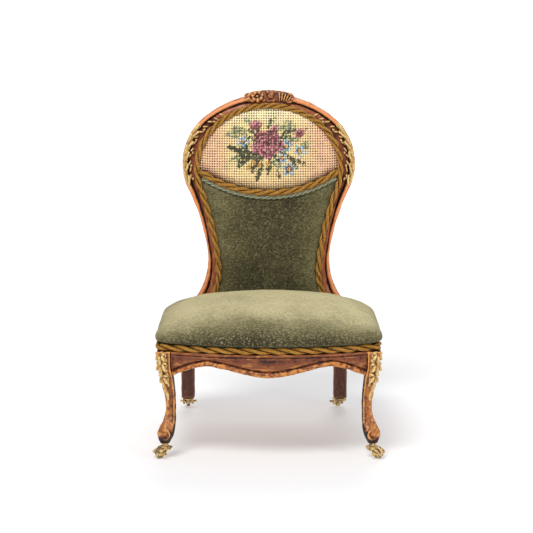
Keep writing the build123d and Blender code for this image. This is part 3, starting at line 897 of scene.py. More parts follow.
def make_frame_rope():
    """Gold rope round the inside of the back's frame."""
    length = 2 * sum(r * abs(end - start) for _, r, start, end, _ in rope_chain)
    forward = 0.62

    def line(share):
        place = foot_place * (2 * share - 1) * 0.985
        x, z = on_chain(rope_chain, place)
        inside = on_chain(rope_chain, place, 0.1)
        point = back_point(x, z, forward)
        side = (back_point(*inside, forward) - point).normalized()
        out = (back_point(x, z, 0.72) - point).normalized()
        return point, side, out
    piece = make_twist("frame_rope_twist", line, length, 0.37, 0.34, 0.86, 5.8)
    return finished(piece, gold_thread, "gold_rope", "chair", "frame_rope", angle=80)


def medallion_reach(radius, inset):
    """Angle from straight down at which an arc round the medallion meets the frame's rope."""
    angle = 0.0
    while angle < 1.2:
        x = radius * math.sin(angle)
        z = medallion_centre - radius * math.cos(angle)
        if x > half_width(z) - inset:
            break
        angle += 0.004
    return angle


def arc_line(radius, first, last, forward):
    """Line of a cord on an arc under the medallion, between two angles from straight down."""
    def line(share):
        angle = first + (last - first) * share
        x = radius * math.sin(angle)
        z = medallion_centre - radius * math.cos(angle)
        point = back_point(x, z, forward)
        outside = back_point(x * 1.01, medallion_centre - 1.01 * radius * math.cos(angle), forward)
        out = (back_point(x, z, forward + 0.1) - point).normalized()
        return point, (outside - point).normalized(), out
    return line


def make_medallion_rope():
    """Gold rope along the lower edge of the medallion."""
    radius = medallion_radius + 0.05 + rope_width / 2
    reach = medallion_reach(radius, 0.7)
    line = arc_line(radius, -reach, reach, pad_stand + 0.12)
    length = 2 * reach * radius
    piece = make_twist("medallion_rope_twist", line, length, 0.39, 0.35, 0.9, 6.2, turn=1.0)
    return finished(piece, gold_thread, "gold_rope", "chair", "medallion_rope", angle=80)


def make_green_cord():
    """Thin pale cord under the medallion's rope, starting a little short of the frame on the left."""
    radius = medallion_radius + rope_width + 0.48
    reach = medallion_reach(radius, 0.9)
    start = -reach + 0.01
    line = arc_line(radius, start, reach, pad_stand + 0.02)
    length = (reach - start) * radius
    piece = make_twist("medallion_green_cord_twist", line, length, 0.21, 0.18, 0.9, 2.7, 7.0)
    return finished(piece, green_thread, "green_cord", "chair", "medallion_green_cord", angle=80)


# ---------------------------------------------------------------- upholstery of the back
def backed(piece, thickness):
    """Gives a sheet its thickness, behind it, with its sides closed."""
    return apply_modifier(piece, "SOLIDIFY", thickness=thickness, offset=-1.0)


def make_back_pad():
    """Velvet between the seat and the medallion, gently domed and tucked in under the cords."""
    low = corners("back_pad")[0].z + 0.02
    arc = medallion_radius + rope_width + 0.5
    tuck = 0.35

    def spot(u, v):
        x, z = 0.0, low
        for _ in range(6):
            top = medallion_centre - math.sqrt(arc * arc - x * x)
            z = low + (top - low) * v
            x = (2 * u - 1) * (half_width(z) - tuck)
        return x, z

    def place(u, v):
        x, z = spot(u, v)
        edge = min((half_width(z) - tuck - abs(x)) / 2.6, 1.0)
        upper = min((medallion_centre - math.sqrt(arc * arc - x * x) - z) / 1.6, 1.0)
        dome = math.sqrt(max(0.0, 1 - (1 - edge) ** 2)) * math.sqrt(max(0.0, 1 - 0.6 * (1 - upper) ** 2))
        lumps = 0.10 * rough((x, 0, z), 7.0, 2.0) + 0.04 * rough((x, 0, z), 2.2, 5.0)
        return back_point(x, z, -0.45 + 1.35 * dome + lumps * dome)
    piece = formed("back_pad_velvet", 110, 120, place)
    # painted light: the pile is painted paler towards the sides, where the dome catches sheen, and darker in
    # the middle, with some random change
    painted_light = []
    for vertex in piece.data.vertices:
        x, z = vertex.co.x, vertex.co.z
        side = smooth((abs(x) - 4.0) / 8.5)
        painted_light.append(0.32 + 0.34 * side + 0.12 * rough((x, 0, z), 8.0, 9.0))
    store(piece, "painted_light", painted_light)
    backed(piece, 0.6)
    editing(piece, outwards)
    return finished(piece, back_velvet, "velvet", "chair", "back_pad", angle=60)


# ---------------------------------------------------------------- needlework
stitch = 0.576                         # from one hole of the canvas to the next
canvas_cream = (255, 230, 162)
canvas_peach = (246, 196, 158)
canvas_light = (255, 240, 206)
rose_tones = ((46, 16, 26), (112, 36, 56), (176, 84, 104), (236, 168, 176), (132, 40, 60))
leaf_tones = ((26, 36, 26), (50, 66, 40), (92, 104, 62), (34, 58, 56))
mist_tones = ((126, 148, 104), (96, 134, 124), (164, 176, 128), (84, 104, 84))
blue_tones = ((150, 190, 212), (206, 222, 232), (96, 150, 178), (54, 66, 96))
# Flowers and leaves of the bouquet, in millimetres from the rose's middle.
# A flower or a bud is its place and size; a leaf is its place, its turn in degrees, length and width.
blue_flowers = ((-5.7, 0.6, 1.25), (4.5, -0.5, 1.5), (7.6, -1.8, 1.35), (5.2, -5.9, 1.6), (3.5, -3.3, 1.2))
gold_flowers = ((-1.8, -4.9, 0.62), (-3.3, -4.5, 0.55), (0.1, -4.6, 0.55), (-4.4, -5.6, 0.5))
buds = ((-2.7, 4.2, 1.1), (7.6, 2.4, 1.0), (1.7, 3.2, 0.8))
leaves = (
    (-6.4, -1.6, 172, 2.6, 0.75), (-7.9, -1.2, 160, 1.8, 0.5), (-4.2, -3.0, 205, 3.0, 0.9),
    (-5.6, -4.2, 218, 2.0, 0.7), (-2.4, -4.1, 228, 2.4, 0.9), (-1.8, -6.6, 250, 2.3, 0.6),
    (0.3, -5.4, 262, 2.0, 0.7), (2.2, -3.2, 310, 1.6, 0.6), (5.6, -3.4, 330, 1.7, 0.5),
    (8.0, -4.4, 320, 1.2, 0.5), (3.9, 1.2, 20, 1.8, 0.6), (6.0, 2.7, 15, 1.4, 0.45),
    (-2.1, 3.3, 120, 1.0, 0.5), (8.9, 3.0, 40, 0.9, 0.35), (-3.6, 2.7, 150, 1.2, 0.4),
    (-4.6, -0.6, 190, 1.6, 0.5), (3.6, -1.9, 340, 1.4, 0.5), (-3.8, 1.2, 165, 1.3, 0.45),
    (0.6, 4.4, 75, 1.2, 0.4), (4.4, 2.6, 35, 1.2, 0.4), (6.6, -4.9, 300, 1.2, 0.4),
    (2.6, -7.0, 290, 1.0, 0.4), (-5.6, -2.6, 195, 1.8, 0.5), (-3.0, -5.9, 235, 1.4, 0.45),
)
mists = (
    (3.4, 3.9, 25, 2.6, 0.9), (5.3, 3.6, 10, 1.8, 0.7), (-6.2, 3.0, 165, 2.4, 0.8),
    (-8.0, 2.0, 175, 1.6, 0.7), (2.2, -4.6, 300, 1.4, 0.9), (9.0, -0.4, 350, 1.3, 0.8),
    (-4.6, 5.0, 140, 1.3, 0.6), (6.2, 0.9, 5, 1.5, 0.6), (1.3, 5.0, 60, 1.3, 0.5),
    (-7.4, -3.4, 200, 1.5, 0.5),
)


def blended(first, second, share):
    """A colour part of the way from one to another."""
    return tuple(a + (b - a) * share for a, b in zip(first, second))


def in_leaf(x, z, leaf):
    """Where a stitch lies in a leaf: along it and across it, or None outside."""
    lx, lz, turn, long, wide = leaf
    c, s = math.cos(math.radians(turn)), math.sin(math.radians(turn))
    along, across = (x - lx) * c + (z - lz) * s, -(x - lx) * s + (z - lz) * c
    if (along / long) ** 2 + (across / wide) ** 2 < 1:
        return along / long, across / wide
    return None


def stitch_colour(x, z, draw):
    """Colour of the stitch at that place from the rose's middle: canvas, then what lies over it."""
    warm = smooth((abs(x - 0.5) - 7.0) / 7.0)
    low = smooth((-z - 4.5) / 5.0)
    colour = blended(canvas_cream, canvas_peach, min(1.0, 0.9 * warm + 0.35 * low + 0.25 * smooth(x / 12)))
    colour = blended(colour, canvas_light, 0.6 * smooth((z - 3.0) / 4.0) * (1 - warm))
    for leaf in mists:
        if in_leaf(x, z, leaf) and draw.random() < 0.72:
            colour = blended(colour, draw.choice(mist_tones), 0.85)
    for leaf in leaves:
        spot = in_leaf(x, z, leaf)
        if spot and draw.random() < 0.84:
            tone = leaf_tones[0] if abs(spot[1]) < 0.3 else draw.choice(leaf_tones)
            colour = blended(colour, tone, 0.92)
    for fx, fz, size in gold_flowers:
        if math.hypot(x - fx, z - fz) < size:
            colour = draw.choice(((222, 170, 74), (236, 204, 112), (190, 112, 52)))
    for fx, fz, size in blue_flowers:
        away = math.hypot(x - fx, z - fz) / size
        turn = math.atan2(z - fz, x - fx)
        petal = 0.78 + 0.22 * math.cos(5 * turn + fx)
        if away < 0.34:
            colour = draw.choice(((224, 146, 60), (236, 178, 90)))
        elif away < 0.52:
            colour = draw.choice((blue_tones[3], (70, 84, 92), blue_tones[1]))
        elif away < petal * 1.1:
            colour = blue_tones[1] if draw.random() < 0.3 else draw.choice(blue_tones[:3])
    for fx, fz, size in buds:
        away = math.hypot((x - fx) / 1.25, z - fz) / size
        if away < 1:
            deep = 1 if z - fz < -0.2 else 3
            colour = rose_tones[0] if away < 0.3 else blended(rose_tones[deep], rose_tones[2], draw.random())
    away = math.hypot(x / 1.12, z)
    ragged = 3.25 + 0.35 * math.cos(5 * math.atan2(z, x) + 1.0)
    if away < ragged:                  # the rose: petals in a loose spiral round a dark heart
        turn = math.atan2(z, x)
        ring = away * 1.25 + 0.32 * math.sin(3 * turn + 1.4 * away) + 0.16 * turn
        edge = ring - math.floor(ring)
        if edge < 0.36:
            colour = rose_tones[0] if draw.random() < 0.75 else rose_tones[4]
        elif edge < 0.62:
            colour = blended(rose_tones[1], rose_tones[2], draw.random())
        else:
            colour = blended(rose_tones[2], rose_tones[3], 0.35 + 0.65 * draw.random())
        if away < 0.55:
            colour = (70, 40, 40)
    return tuple(min(255, max(0, c + draw.uniform(-14, 14))) for c in colour)


def make_medallion():
    """Domed needlepoint: one colour to a stitch, and an open hole between each four stitches."""
    step = stitch / 4
    arc = medallion_radius + 0.35
    tuck = 0.3
    wide = int(17.4 / step)
    low_z, high_z = medallion_centre - arc - 0.2, back_top - crest_width + 0.2
    tall = int((high_z - low_z) / step)
    rose_x, rose_z = -0.35, back_top - 10.95

    def flat(u, v):
        return Vector(((2 * u - 1) * wide * step, 0.0, low_z + v * tall * step))
    piece = formed("medallion_needlepoint", 2 * wide, tall, flat)
    widths = [half_width(low_z + k * step) - tuck for k in range(tall + 2)]

    def inside(x, z):
        below = medallion_centre - math.sqrt(arc * arc - x * x)
        upper = widths[min(len(widths) - 1, max(0, round((z - low_z) / step)))]
        return z > below and abs(x) < upper
    mesh = piece.data
    shaped = bmesh.new()
    shaped.from_mesh(mesh)
    outside = [v for v in shaped.verts if not inside(v.co.x, v.co.z)]
    bmesh.ops.delete(shaped, geom=outside, context="VERTS")
    shaped.to_mesh(mesh)
    shaped.free()
    heights = np.array([max(w, 0.0) for w in widths])
    draw = random.Random(7)
    tones = {}
    holes, colours, places = [], [], []
    for vertex in mesh.vertices:
        x, z = vertex.co.x, vertex.co.z
        below = medallion_centre - math.sqrt(arc * arc - x * x)
        row = min(len(heights) - 1, max(0, round((z - low_z) / step)))
        side = smooth((heights[row] - abs(x)) / 3.0)
        foot = smooth((z - below) / 2.2)
        top = smooth((back_top - crest_width - tuck - z) / 2.0)
        dome = side ** 0.5 * foot ** 0.5 * top ** 0.5
        wander = 0.05 * rough((x, 0, z), 2.5, 3.0)
        column, line = x / stitch + wander, (z - low_z) / stitch + wander
        ripple = (math.cos(2 * math.pi * column) + math.cos(2 * math.pi * line)) / 2
        hole = smooth((ripple - 0.02) / 0.56)
        thread = 0.06 * math.sin(2 * math.pi * column) * math.sin(2 * math.pi * line)
        lumps = 0.08 * rough((x, 0, z), 4.0, 1.0)
        height = -0.5 + 1.55 * dome + lumps + 0.05 * (1 - ripple) + thread - 0.22 * hole
        places.append(back_point(x, z, height))
        cell = (math.floor(2 * column), math.floor(2 * line))
        if cell not in tones:
            middle_x = (cell[0] + 0.5) * stitch / 2 - rose_x + draw.uniform(-0.16, 0.16)
            middle_z = low_z + (cell[1] + 0.5) * stitch / 2 - rose_z + draw.uniform(-0.16, 0.16)
            tones[cell] = stitch_colour(middle_x, middle_z, draw)
        colours.append(paint(*tones[cell]))
        # the hole layer also carries the painted shade of the holes
        holes.append(hole * (0.68 + 0.20 * draw.random() + 0.35 * rough((x, 0, z), 2.0, 9.0)))
    mesh.vertices.foreach_set("co", np.array(places, np.float32).ravel())
    mesh.update()
    store(piece, "hole", holes)
    layer = mesh.attributes.new("thread", "FLOAT_COLOR", "POINT")
    layer.data.foreach_set("color", np.array(colours, np.float32).ravel())
    backed(piece, 0.55)
    editing(piece, outwards)
    return finished(piece, needlepoint, "needlepoint", "chair", "medallion_pad", angle=80)


def make_rear_cover():
    """Cloth-covered card that closes the back, its edge turned over."""
    inset = 1.2
    middle = (0.0, 35.0)               # low enough for every part of the waisted outline to face it
    foot = rail_top + 0.3
    arched = 0.86                      # share of the outline that follows the frame, the rest is its foot
    end = place_at(outer_chain, foot, 3.0, 3.999, inset)

    def outline(u):
        x, z = on_chain(outer_chain, end * (2 * min(u, arched) / arched - 1), inset)
        if u > arched:
            return x * (1 - 2 * (u - arched) / (1 - arched)), foot
        return x, z

    def place(u, v):
        x, z = outline(u)
        front, rear = frame_thickness + 0.06, frame_thickness + 0.65
        if v < 0.3:
            share, depth = v / 0.3, front
        else:
            share = 1 - (v - 0.3) / 0.7
            depth = front + (rear - front) * smooth((1 - share) / 0.03)
        x, z = middle[0] + (x - middle[0]) * share, middle[1] + (z - middle[1]) * share
        inside = smooth((half_width(z) + 1.6 - abs(x)) / 6.0) * smooth((z - foot) / 6.0)
        puff = 0.0 if v < 0.3 else 0.30 * inside + 0.05 * rough((x, 0, z), 5.0, 6.0)
        return back_point(x, z, -depth - puff)
    piece = formed("rear_cover_cloth", 250, 90, place, round_columns=True)
    return finished(piece, outside_cloth, "backing_cloth", "chair", "rear_cover", angle=60)


# ---------------------------------------------------------------- seat
cushion_base = cushion_low.z
cushion_rear = cushion_high.y
# Rings of the cushion: height over its base, in from the sides and front, in from the back, roundness.
cushion_rings = (
    (0.00, 3.2, 1.4, 0.0), (0.35, 2.0, 0.3, 0.0), (1.25, 1.6, 0.15, 0.0), (1.50, 0.0, 0.0, 0.01),
    (1.80, -0.55, 0.0, 0.02), (2.60, -0.70, 0.4, 0.03), (3.60, -0.15, 1.3, 0.07), (4.70, 1.25, 3.2, 0.14),
    (5.55, 2.95, 5.6, 0.22), (6.30, 4.7, 8.1, 0.30), (7.20, 6.3, 10.4, 0.40), (7.85, 8.4, 13.0, 0.52),
    (8.60, 11.4, 16.3, 0.68), (9.15, 14.4, 19.4, 0.85), (9.55, 18.0, 22.4, 1.0), (9.75, 21.8, 24.8, 1.0),
)


def seat_corner_points(inset, corner, steps):
    """Right half of the seat's outline: side, rounded corner, then the bowed front to its middle."""
    y = seat_front
    for _ in range(20):
        y = bow_y(side_x(y, inset), inset)
    turn_x, turn_y = side_x(y, inset), y
    on_side = Vector((side_x(turn_y + corner, inset), turn_y + corner))
    on_bow = Vector((turn_x - corner, bow_y(turn_x - corner, inset)))
    apex = Vector((turn_x, turn_y))
    points = [Vector((side_x(y, inset), y)) for y in np.linspace(seat_rear, on_side.y, 40)]
    for k in range(1, steps):
        t = k / steps
        points.append(on_side.lerp(apex, t).lerp(apex.lerp(on_bow, t), t))
    points += [Vector((x, bow_y(x, inset))) for x in np.linspace(on_bow.x, 0, 40)]
    return points


def evenly(points, count):
    """That many points, evenly spaced along a line of points."""
    lengths = [0.0]
    for a, b in zip(points, points[1:]):
        lengths.append(lengths[-1] + (b - a).length)
    out = []
    at = 0
    for k in range(count):
        want = lengths[-1] * k / (count - 1)
        while at < len(lengths) - 2 and lengths[at + 1] < want:
            at += 1
        share = (want - lengths[at]) / max(lengths[at + 1] - lengths[at], 1e-9)
        out.append(points[at].lerp(points[at + 1], share))
    return out, lengths[-1]


def cushion_plan(count):
    """Outline of the cushion without inset, as points round it from the back's middle."""
    rear_corner = 11.0
    half = [p for p in seat_corner_points(0.0, 3.0, 16) if p.y < cushion_rear - rear_corner]
    edge_x = side_x(cushion_rear, 0.0)
    middle = Vector((edge_x - rear_corner, cushion_rear - rear_corner))
    start = [Vector((x, cushion_rear)) for x in np.linspace(0, middle.x, 20)]
    bend = [middle + rear_corner * Vector((math.sin(t), math.cos(t))) for t in np.linspace(0.05, 1.5, 14)]
    half = start + bend + half
    left = [Vector((-p.x, p.y)) for p in reversed(half[1:-1])]
    return evenly(half + left + [half[0]], count + 1)[0][:-1]


def simulate(piece, voxel, pressure, cap, held_below):
    """Swells the piece as cloth with air in it; no point moves further than cap."""
    full_size = 0.012                  # the sim runs at the size of a full-sized chair
    frames = 20
    apply_modifier(piece, "REMESH", mode="VOXEL", voxel_size=voxel)
    apply_modifier(piece, "SMOOTH", factor=0.5, iterations=4)
    piece.data.transform(Matrix.Scale(full_size, 4))
    start = np.array([v.co for v in piece.data.vertices])
    group = piece.vertex_groups.new(name="held")
    group.add([v.index for v in piece.data.vertices if v.co.z < held_below * full_size], 1.0,
              "REPLACE")
    cloth = piece.modifiers.new("cloth", "CLOTH")
    settings = {
        "quality": 5, "mass": 0.3, "tension_stiffness": 25, "compression_stiffness": 18,
        "shear_stiffness": 8, "bending_stiffness": 4, "use_pressure": True,
        "uniform_pressure_force": pressure, "vertex_group_mass": "held",
    }
    for name, value in settings.items():
        setattr(cloth.settings, name, value)
    cloth.settings.effector_weights.gravity = 0.0
    cloth.point_cache.frame_start, cloth.point_cache.frame_end = 1, frames
    for k in range(1, frames + 1):
        bpy.context.scene.frame_set(k)
    active(piece)
    bpy.ops.object.modifier_apply(modifier=cloth.name)
    bpy.context.scene.frame_set(1)
    end = np.array([v.co for v in piece.data.vertices])
    step = end - start
    far = np.linalg.norm(step, axis=1, keepdims=True)
    limit = cap * full_size
    step = step * np.minimum(1.0, limit / np.maximum(far, 1e-9))
    piece.data.vertices.foreach_set("co", (start + step).astype(np.float32).ravel())
    piece.data.transform(Matrix.Scale(1 / full_size, 4))
    piece.data.update()
    return apply_modifier(piece, "SMOOTH", factor=0.5, iterations=2)


def make_cushion():
    """Velvet seat: tucked in above its rope, swelling over it, crowned and falling to the back."""
    count = 200
    plan = cushion_plan(count)
    deep = cushion_rear - seat_nose

    def place(u, v):
        row = v * (len(cushion_rings) - 1)
        rise, side, rear, rounder = through([(k,) + r for k, r in enumerate(cushion_rings)], row)
        point = plan[int(round(u * count)) % count]
        shrink_x = (seat_half - side) / seat_half
        new_rear, new_front = cushion_rear - rear, seat_nose + side
        share = (point.y - seat_nose) / deep
        x, y = point.x * shrink_x, new_front + (new_rear - new_front) * share
        turn = 2 * math.pi * (round(u * count) % count) / count
        oval_x = (seat_half - side) * math.sin(turn)
        oval_y = (new_front + new_rear) / 2 + (new_rear - new_front) / 2 * math.cos(turn)
        x, y = x + (oval_x - x) * rounder, y + (oval_y - y) * rounder
        return Vector((x, y, cushion_base + rise))
    piece = formed("seat_cushion_velvet", count, 60, place, round_columns=True)
    simulate(piece, 0.5, 3.0, 0.35, cushion_base + 1.2)

    def settled(p):
        above = smooth((p.z - cushion_base - 2.0) / 2.0)
        lumps = 0.12 * rough(p, 9.0, 1.5) + 0.05 * rough(p, 3.0, 4.0) + 0.03 * rough(p, 1.0, 6.0)
        return p + Vector((0, -0.3, 1.0)) * lumps * above
    moved(piece, settled)
    painted_light = []
    for vertex in piece.data.vertices:
        p = vertex.co
        # painted light: the crown is painted pale as if lit, low down the pile is painted dark as if in
        # shade, and the pale comes lower towards the sides
        crown = smooth((p.z - cushion_base - 2.5 + 2.4 * (p.x / 22) ** 2) / 7.0)
        middle = 1 - min(1.0, math.hypot(p.x / 34, (p.y + 4) / 34))
        painted_light.append(0.10 + 0.78 * crown + 0.12 * middle * crown + 0.10 * rough(p, 8.0, 3.0))
    store(piece, "painted_light", painted_light)
    return finished(piece, seat_velvet, "velvet", "chair", "seat_cushion", angle=80)


def make_seat_rope():
    """Rope on the rail's edge, along both sides and round the bowed front."""
    inset = (rope_high.z - rope_low.z) / 2
    height = (rope_low.z + rope_high.z) / 2
    half = [p for p in seat_corner_points(inset - 0.2, 1.1, 14) if p.y < rope_high.y]
    whole = half + [Vector((-p.x, p.y)) for p in reversed(half[:-1])]
    count = 900
    points, length = evenly(whole, count)

    def line(share):
        at = min(share * (count - 1), count - 1.001)
        k = int(at)
        flat = points[k].lerp(points[k + 1], at - k)
        ahead, back = points[min(k + 3, count - 1)], points[max(k - 2, 0)]
        along = (ahead - back).normalized()
        slack = 0.05 * rough((flat.x, flat.y, 0), 3.0, 2.0)
        return Vector((flat.x, flat.y, height + slack)), Vector((-along.y, along.x, 0)), Vector((0, 0, 1))
    piece = make_twist("seat_rope_twist", line, length, 0.42, 0.38, 0.97, 7.6)
    return finished(piece, gold_thread, "gold_rope", "chair", "seat_rope", angle=80)


# ---------------------------------------------------------------- rails
# Section of a rail: back from its face, then height from the lower edge, or from the top where negative.
rail_section = (
    (2.6, 0.0), (1.2, 0.0), (0.5, 0.02), (0.16, 0.10), (-0.06, 0.30), (-0.14, 0.55), (-0.10, 0.80),
    (0.04, 1.0), (0.28, 1.12), (0.50, 1.22), (0.52, 1.34), (0.34, 1.5), (0.20, 1.62), (0.20, -1.2),
    (0.16, -0.9),
    (0.34, -0.75), (0.34, -0.6), (0.10, -0.45), (0.04, -0.2), (0.12, 0.0), (0.6, 0.0), (2.6, 0.0),
)
top_points = 13                        # from this point on, the section hangs from the top


def rail_spot(row, low):
    """Depth and height of a rail's section, with its lower edge at low."""
    whole = int(row) % len(rail_section)
    following = (whole + 1) % len(rail_section)
    spots = []
    for k in (whole, following):
        depth, height = rail_section[k]
        spots.append(Vector((depth, rail_top + height if k >= top_points else low + height)))
    return spots[0].lerp(spots[1], row - int(row))


def front_edge(x):
    """Serpentine lower edge of the front rail."""
    centre = rail_top - front_low.z
    rows = ((-1.0, 5.5), (-0.88, 4.35), (-0.75, 3.3), (-0.60, 2.85), (0.0, centre), (0.60, 2.85),
            (0.75, 3.3), (0.88, 4.35), (1.0, 5.5))
    return rail_top - through(rows, x / block_inner)[0]


def make_front_rail():
    """Bowed rail with a rounded bead along its serpentine lower edge."""
    def place(u, v):
        x = (2 * v - 1) * (block_inner - 0.01)
        depth, height = rail_spot(u * len(rail_section), front_edge(x))
        return Vector((x, bow_y(x, depth), height))
    piece = formed("front_rail", 3 * len(rail_section), 230, place, round_columns=True)
    roughened(piece, 2.0, 0.14, 2.0)
    roughened(piece, 0.6, 0.07, 7.0)
    mark_hollows(piece, 3)
    return finished(piece, rail_wood, "stained_wood", "chair", "seat_front_rail")


def make_side_rail(name, side):
    """Straight rail with the front rail's section."""
    low, high = corners(name)

    def place(u, v):
        y = low.y + (high.y - low.y) * v
        depth, height = rail_spot(u * len(rail_section), low.z)
        return Vector((side * (side_x(y, 0.2) - depth), y, height))
    piece = formed(name + "_moulded", 3 * len(rail_section), 160, place, round_columns=True)
    roughened(piece, 2.0, 0.10, 2.5 + side)
    roughened(piece, 0.6, 0.05, 7.5)
    mark_hollows(piece, 3)
    return finished(piece, side_wood, "stained_wood", "chair", name)


def planed(name, low, high, edge, voxel, wear):
    """A sawn bar with its edges eased."""
    bpy.ops.mesh.primitive_cube_add(size=1, location=(0, 0, 0))
    piece = bpy.context.object
    piece.name = name
    size, middle = high - low, (high + low) / 2
    piece.data.transform(Matrix.Translation(middle) @ Matrix.Diagonal((*size, 1)))
    editing(piece, lambda: bpy.ops.mesh.bevel(offset=edge, segments=2))
    apply_modifier(piece, "REMESH", mode="VOXEL", voxel_size=voxel)
    roughened(piece, 1.6, wear, low.x)
    roughened(piece, 0.5, wear * 0.5, low.x + 3)
    mark_hollows(piece, 2)
    return piece


def make_back_rail():
    """Plain bar between the rear ends of the side rails."""
    piece = planed("back_rail", *corners("seat_back_rail"), 0.3, 0.3, 0.06)
    return finished(piece, side_wood, "stained_wood", "chair", "seat_back_rail")


def make_rear_leg(name):
    """Plain square leg up to the underside of the rail."""
    low, high = corners(name)
    high.z = rail_low.z
    piece = planed(name + "_square", low, high, 0.10, 0.14, 0.06)
    return finished(piece, dark_wood, "dark_wood", "chair", name)


# ---------------------------------------------------------------- front legs
def leg_levels():
    """Height, inner x, outer x, front y, rear y and squareness up the right front leg."""
    foot, tall = leg_low.z, rail_top - leg_low.z
    x0, x1, y0 = block_inner, seat_half, seat_front
    y1 = seat_front + 3.4
    sx, sy = stem_place("front_right")
    return (
        (foot, sx - 1.05, sx + 1.15, sy - 1.1, sy + 1.1, 2.2),
        (foot + 0.03 * tall, sx - 1.25, sx + 1.4, sy - 1.35, sy + 1.3, 2.2),
        (foot + 0.07 * tall, sx - 1.7, sx + 1.6, sy - 1.6, sy + 1.4, 2.3),
        (foot + 0.11 * tall, sx - 2.0, sx + 1.75, sy - 1.75, sy + 1.6, 2.4),
        (foot + 0.17 * tall, sx - 2.2, sx + 1.25, sy - 1.25, sy + 1.7, 2.6),
        (foot + 0.24 * tall, sx - 2.3, sx + 0.45, sy - 0.1, y1 - 2.3, 3.2),
        (foot + 0.34 * tall, sx - 2.3, sx - 0.05, y0 - 0.4, y1 - 2.0, 4.0),
        (foot + 0.48 * tall, x0 - 1.0, x1 - 2.1, y0 - 0.3, y1 - 1.4, 4.5),
        (foot + 0.60 * tall, x0 - 0.8, x1 - 1.5, y0 - 0.4, y1 - 0.9, 5.0),
        (foot + 0.72 * tall, x0 - 0.5, x1 - 0.9, y0 - 0.5, y1 - 0.4, 5.5),
        (foot + 0.80 * tall, x0 - 0.1, x1 - 0.6, y0 - 0.5, y1, 7.0),
        (foot + 0.88 * tall, x0, x1 - 0.5, y0 - 0.35, y1, 8.0),
        (rail_top - 0.02, x0, x1 - 0.2, y0 - 0.02, y1, 9.0),
    )


def joint_named(name):
    return next(joint for joint in frame["joints"] if joint["name"] == name)


def stem_place(place):
    """Where a caster's stem stands, from its swivel joint."""
    spot = joint_named("swivel_" + place)["pos_m"]
    return spot[0] / MM, spot[1] / MM


def make_front_leg(name, side):
    """Cabriole leg with a carved ridge down its front's inner edge and a scroll on its toe."""
    levels = leg_levels()

    def place(u, v):
        z = levels[0][0] + (levels[-1][0] - levels[0][0]) * v
        xi, xo, yf, yr, square = through(levels, z)
        turn = 2 * math.pi * u
        c, s = math.cos(turn), math.sin(turn)
        power = 2 / square
        x = (xi + xo) / 2 + (xo - xi) / 2 * math.copysign(abs(c) ** power, c)
        y = (yf + yr) / 2 + (yr - yf) / 2 * math.copysign(abs(s) ** power, s)
        return Vector((x, y, z))
    leg = formed(name + "_cabriole", 72, 110, place, round_columns=True)
    sx, sy = stem_place("front_right")
    toe = Vector((sx - 0.1, sy - 1.38, leg_low.z + 2.05))
    face = basis_of(Vector((1, 0.35, 0)), Vector((0, 0.25, 1)))
    worked = [leg]
    for size, thick in ((0.95, 0.30), (0.36, 0.24)):
        bpy.ops.mesh.primitive_torus_add(major_radius=size, minor_radius=thick, major_segments=28,
                                         minor_segments=10)
        ring = bpy.context.object
        ring.data.transform(Matrix.Translation(toe) @ face.to_4x4())
        worked.append(ring)
    # ridge along the front's inner edge, from the ankle to the knee
    for k in range(26):
        z = leg_low.z + 4.6 + 0.58 * k
        xi, xo, yf, yr, square = through(levels, z)
        spot = Vector((xi + 0.35, yf + 0.12, z))
        worked.append(lobe(spot, basis_of(Vector((0, 0, 1)), Vector((1, 0, 0))), 1.2, 0.5, 0.5, 0, 0, 8))
    piece = joined(name + "_cabriole", worked)
    apply_modifier(piece, "REMESH", mode="VOXEL", voxel_size=0.12)
    apply_modifier(piece, "SMOOTH", factor=0.5, iterations=2)
    roughened(piece, 1.4, 0.10, 1.0 + side)
    roughened(piece, 0.5, 0.05, 5.0 + side)
    mark_hollows(piece, 3)
    # the inner side and the sole are painted with shade, and the front with a little painted light
    values = stored(piece, "hollow")
    for k, vertex in enumerate(piece.data.vertices):
        values[k] -= 0.45 * smooth((-0.35 - vertex.normal.x) / 0.4)
        values[k] -= 0.34 * smooth((leg_low.z + 1.8 - vertex.co.z) / 0.8)
        values[k] += 0.03 * smooth((-vertex.normal.y - 0.5) / 0.3)
    store(piece, "hollow", values)
    mirrored(piece, side)
    return finished(piece, leg_wood, "stained_wood", "chair", name)


def mirrored(piece, side):
    """The right-hand shape, or its mirror for the left."""
    if side < 0:
        piece.data.transform(Matrix.Diagonal((-1, 1, 1, 1)))
        editing(piece, outwards)
    return piece


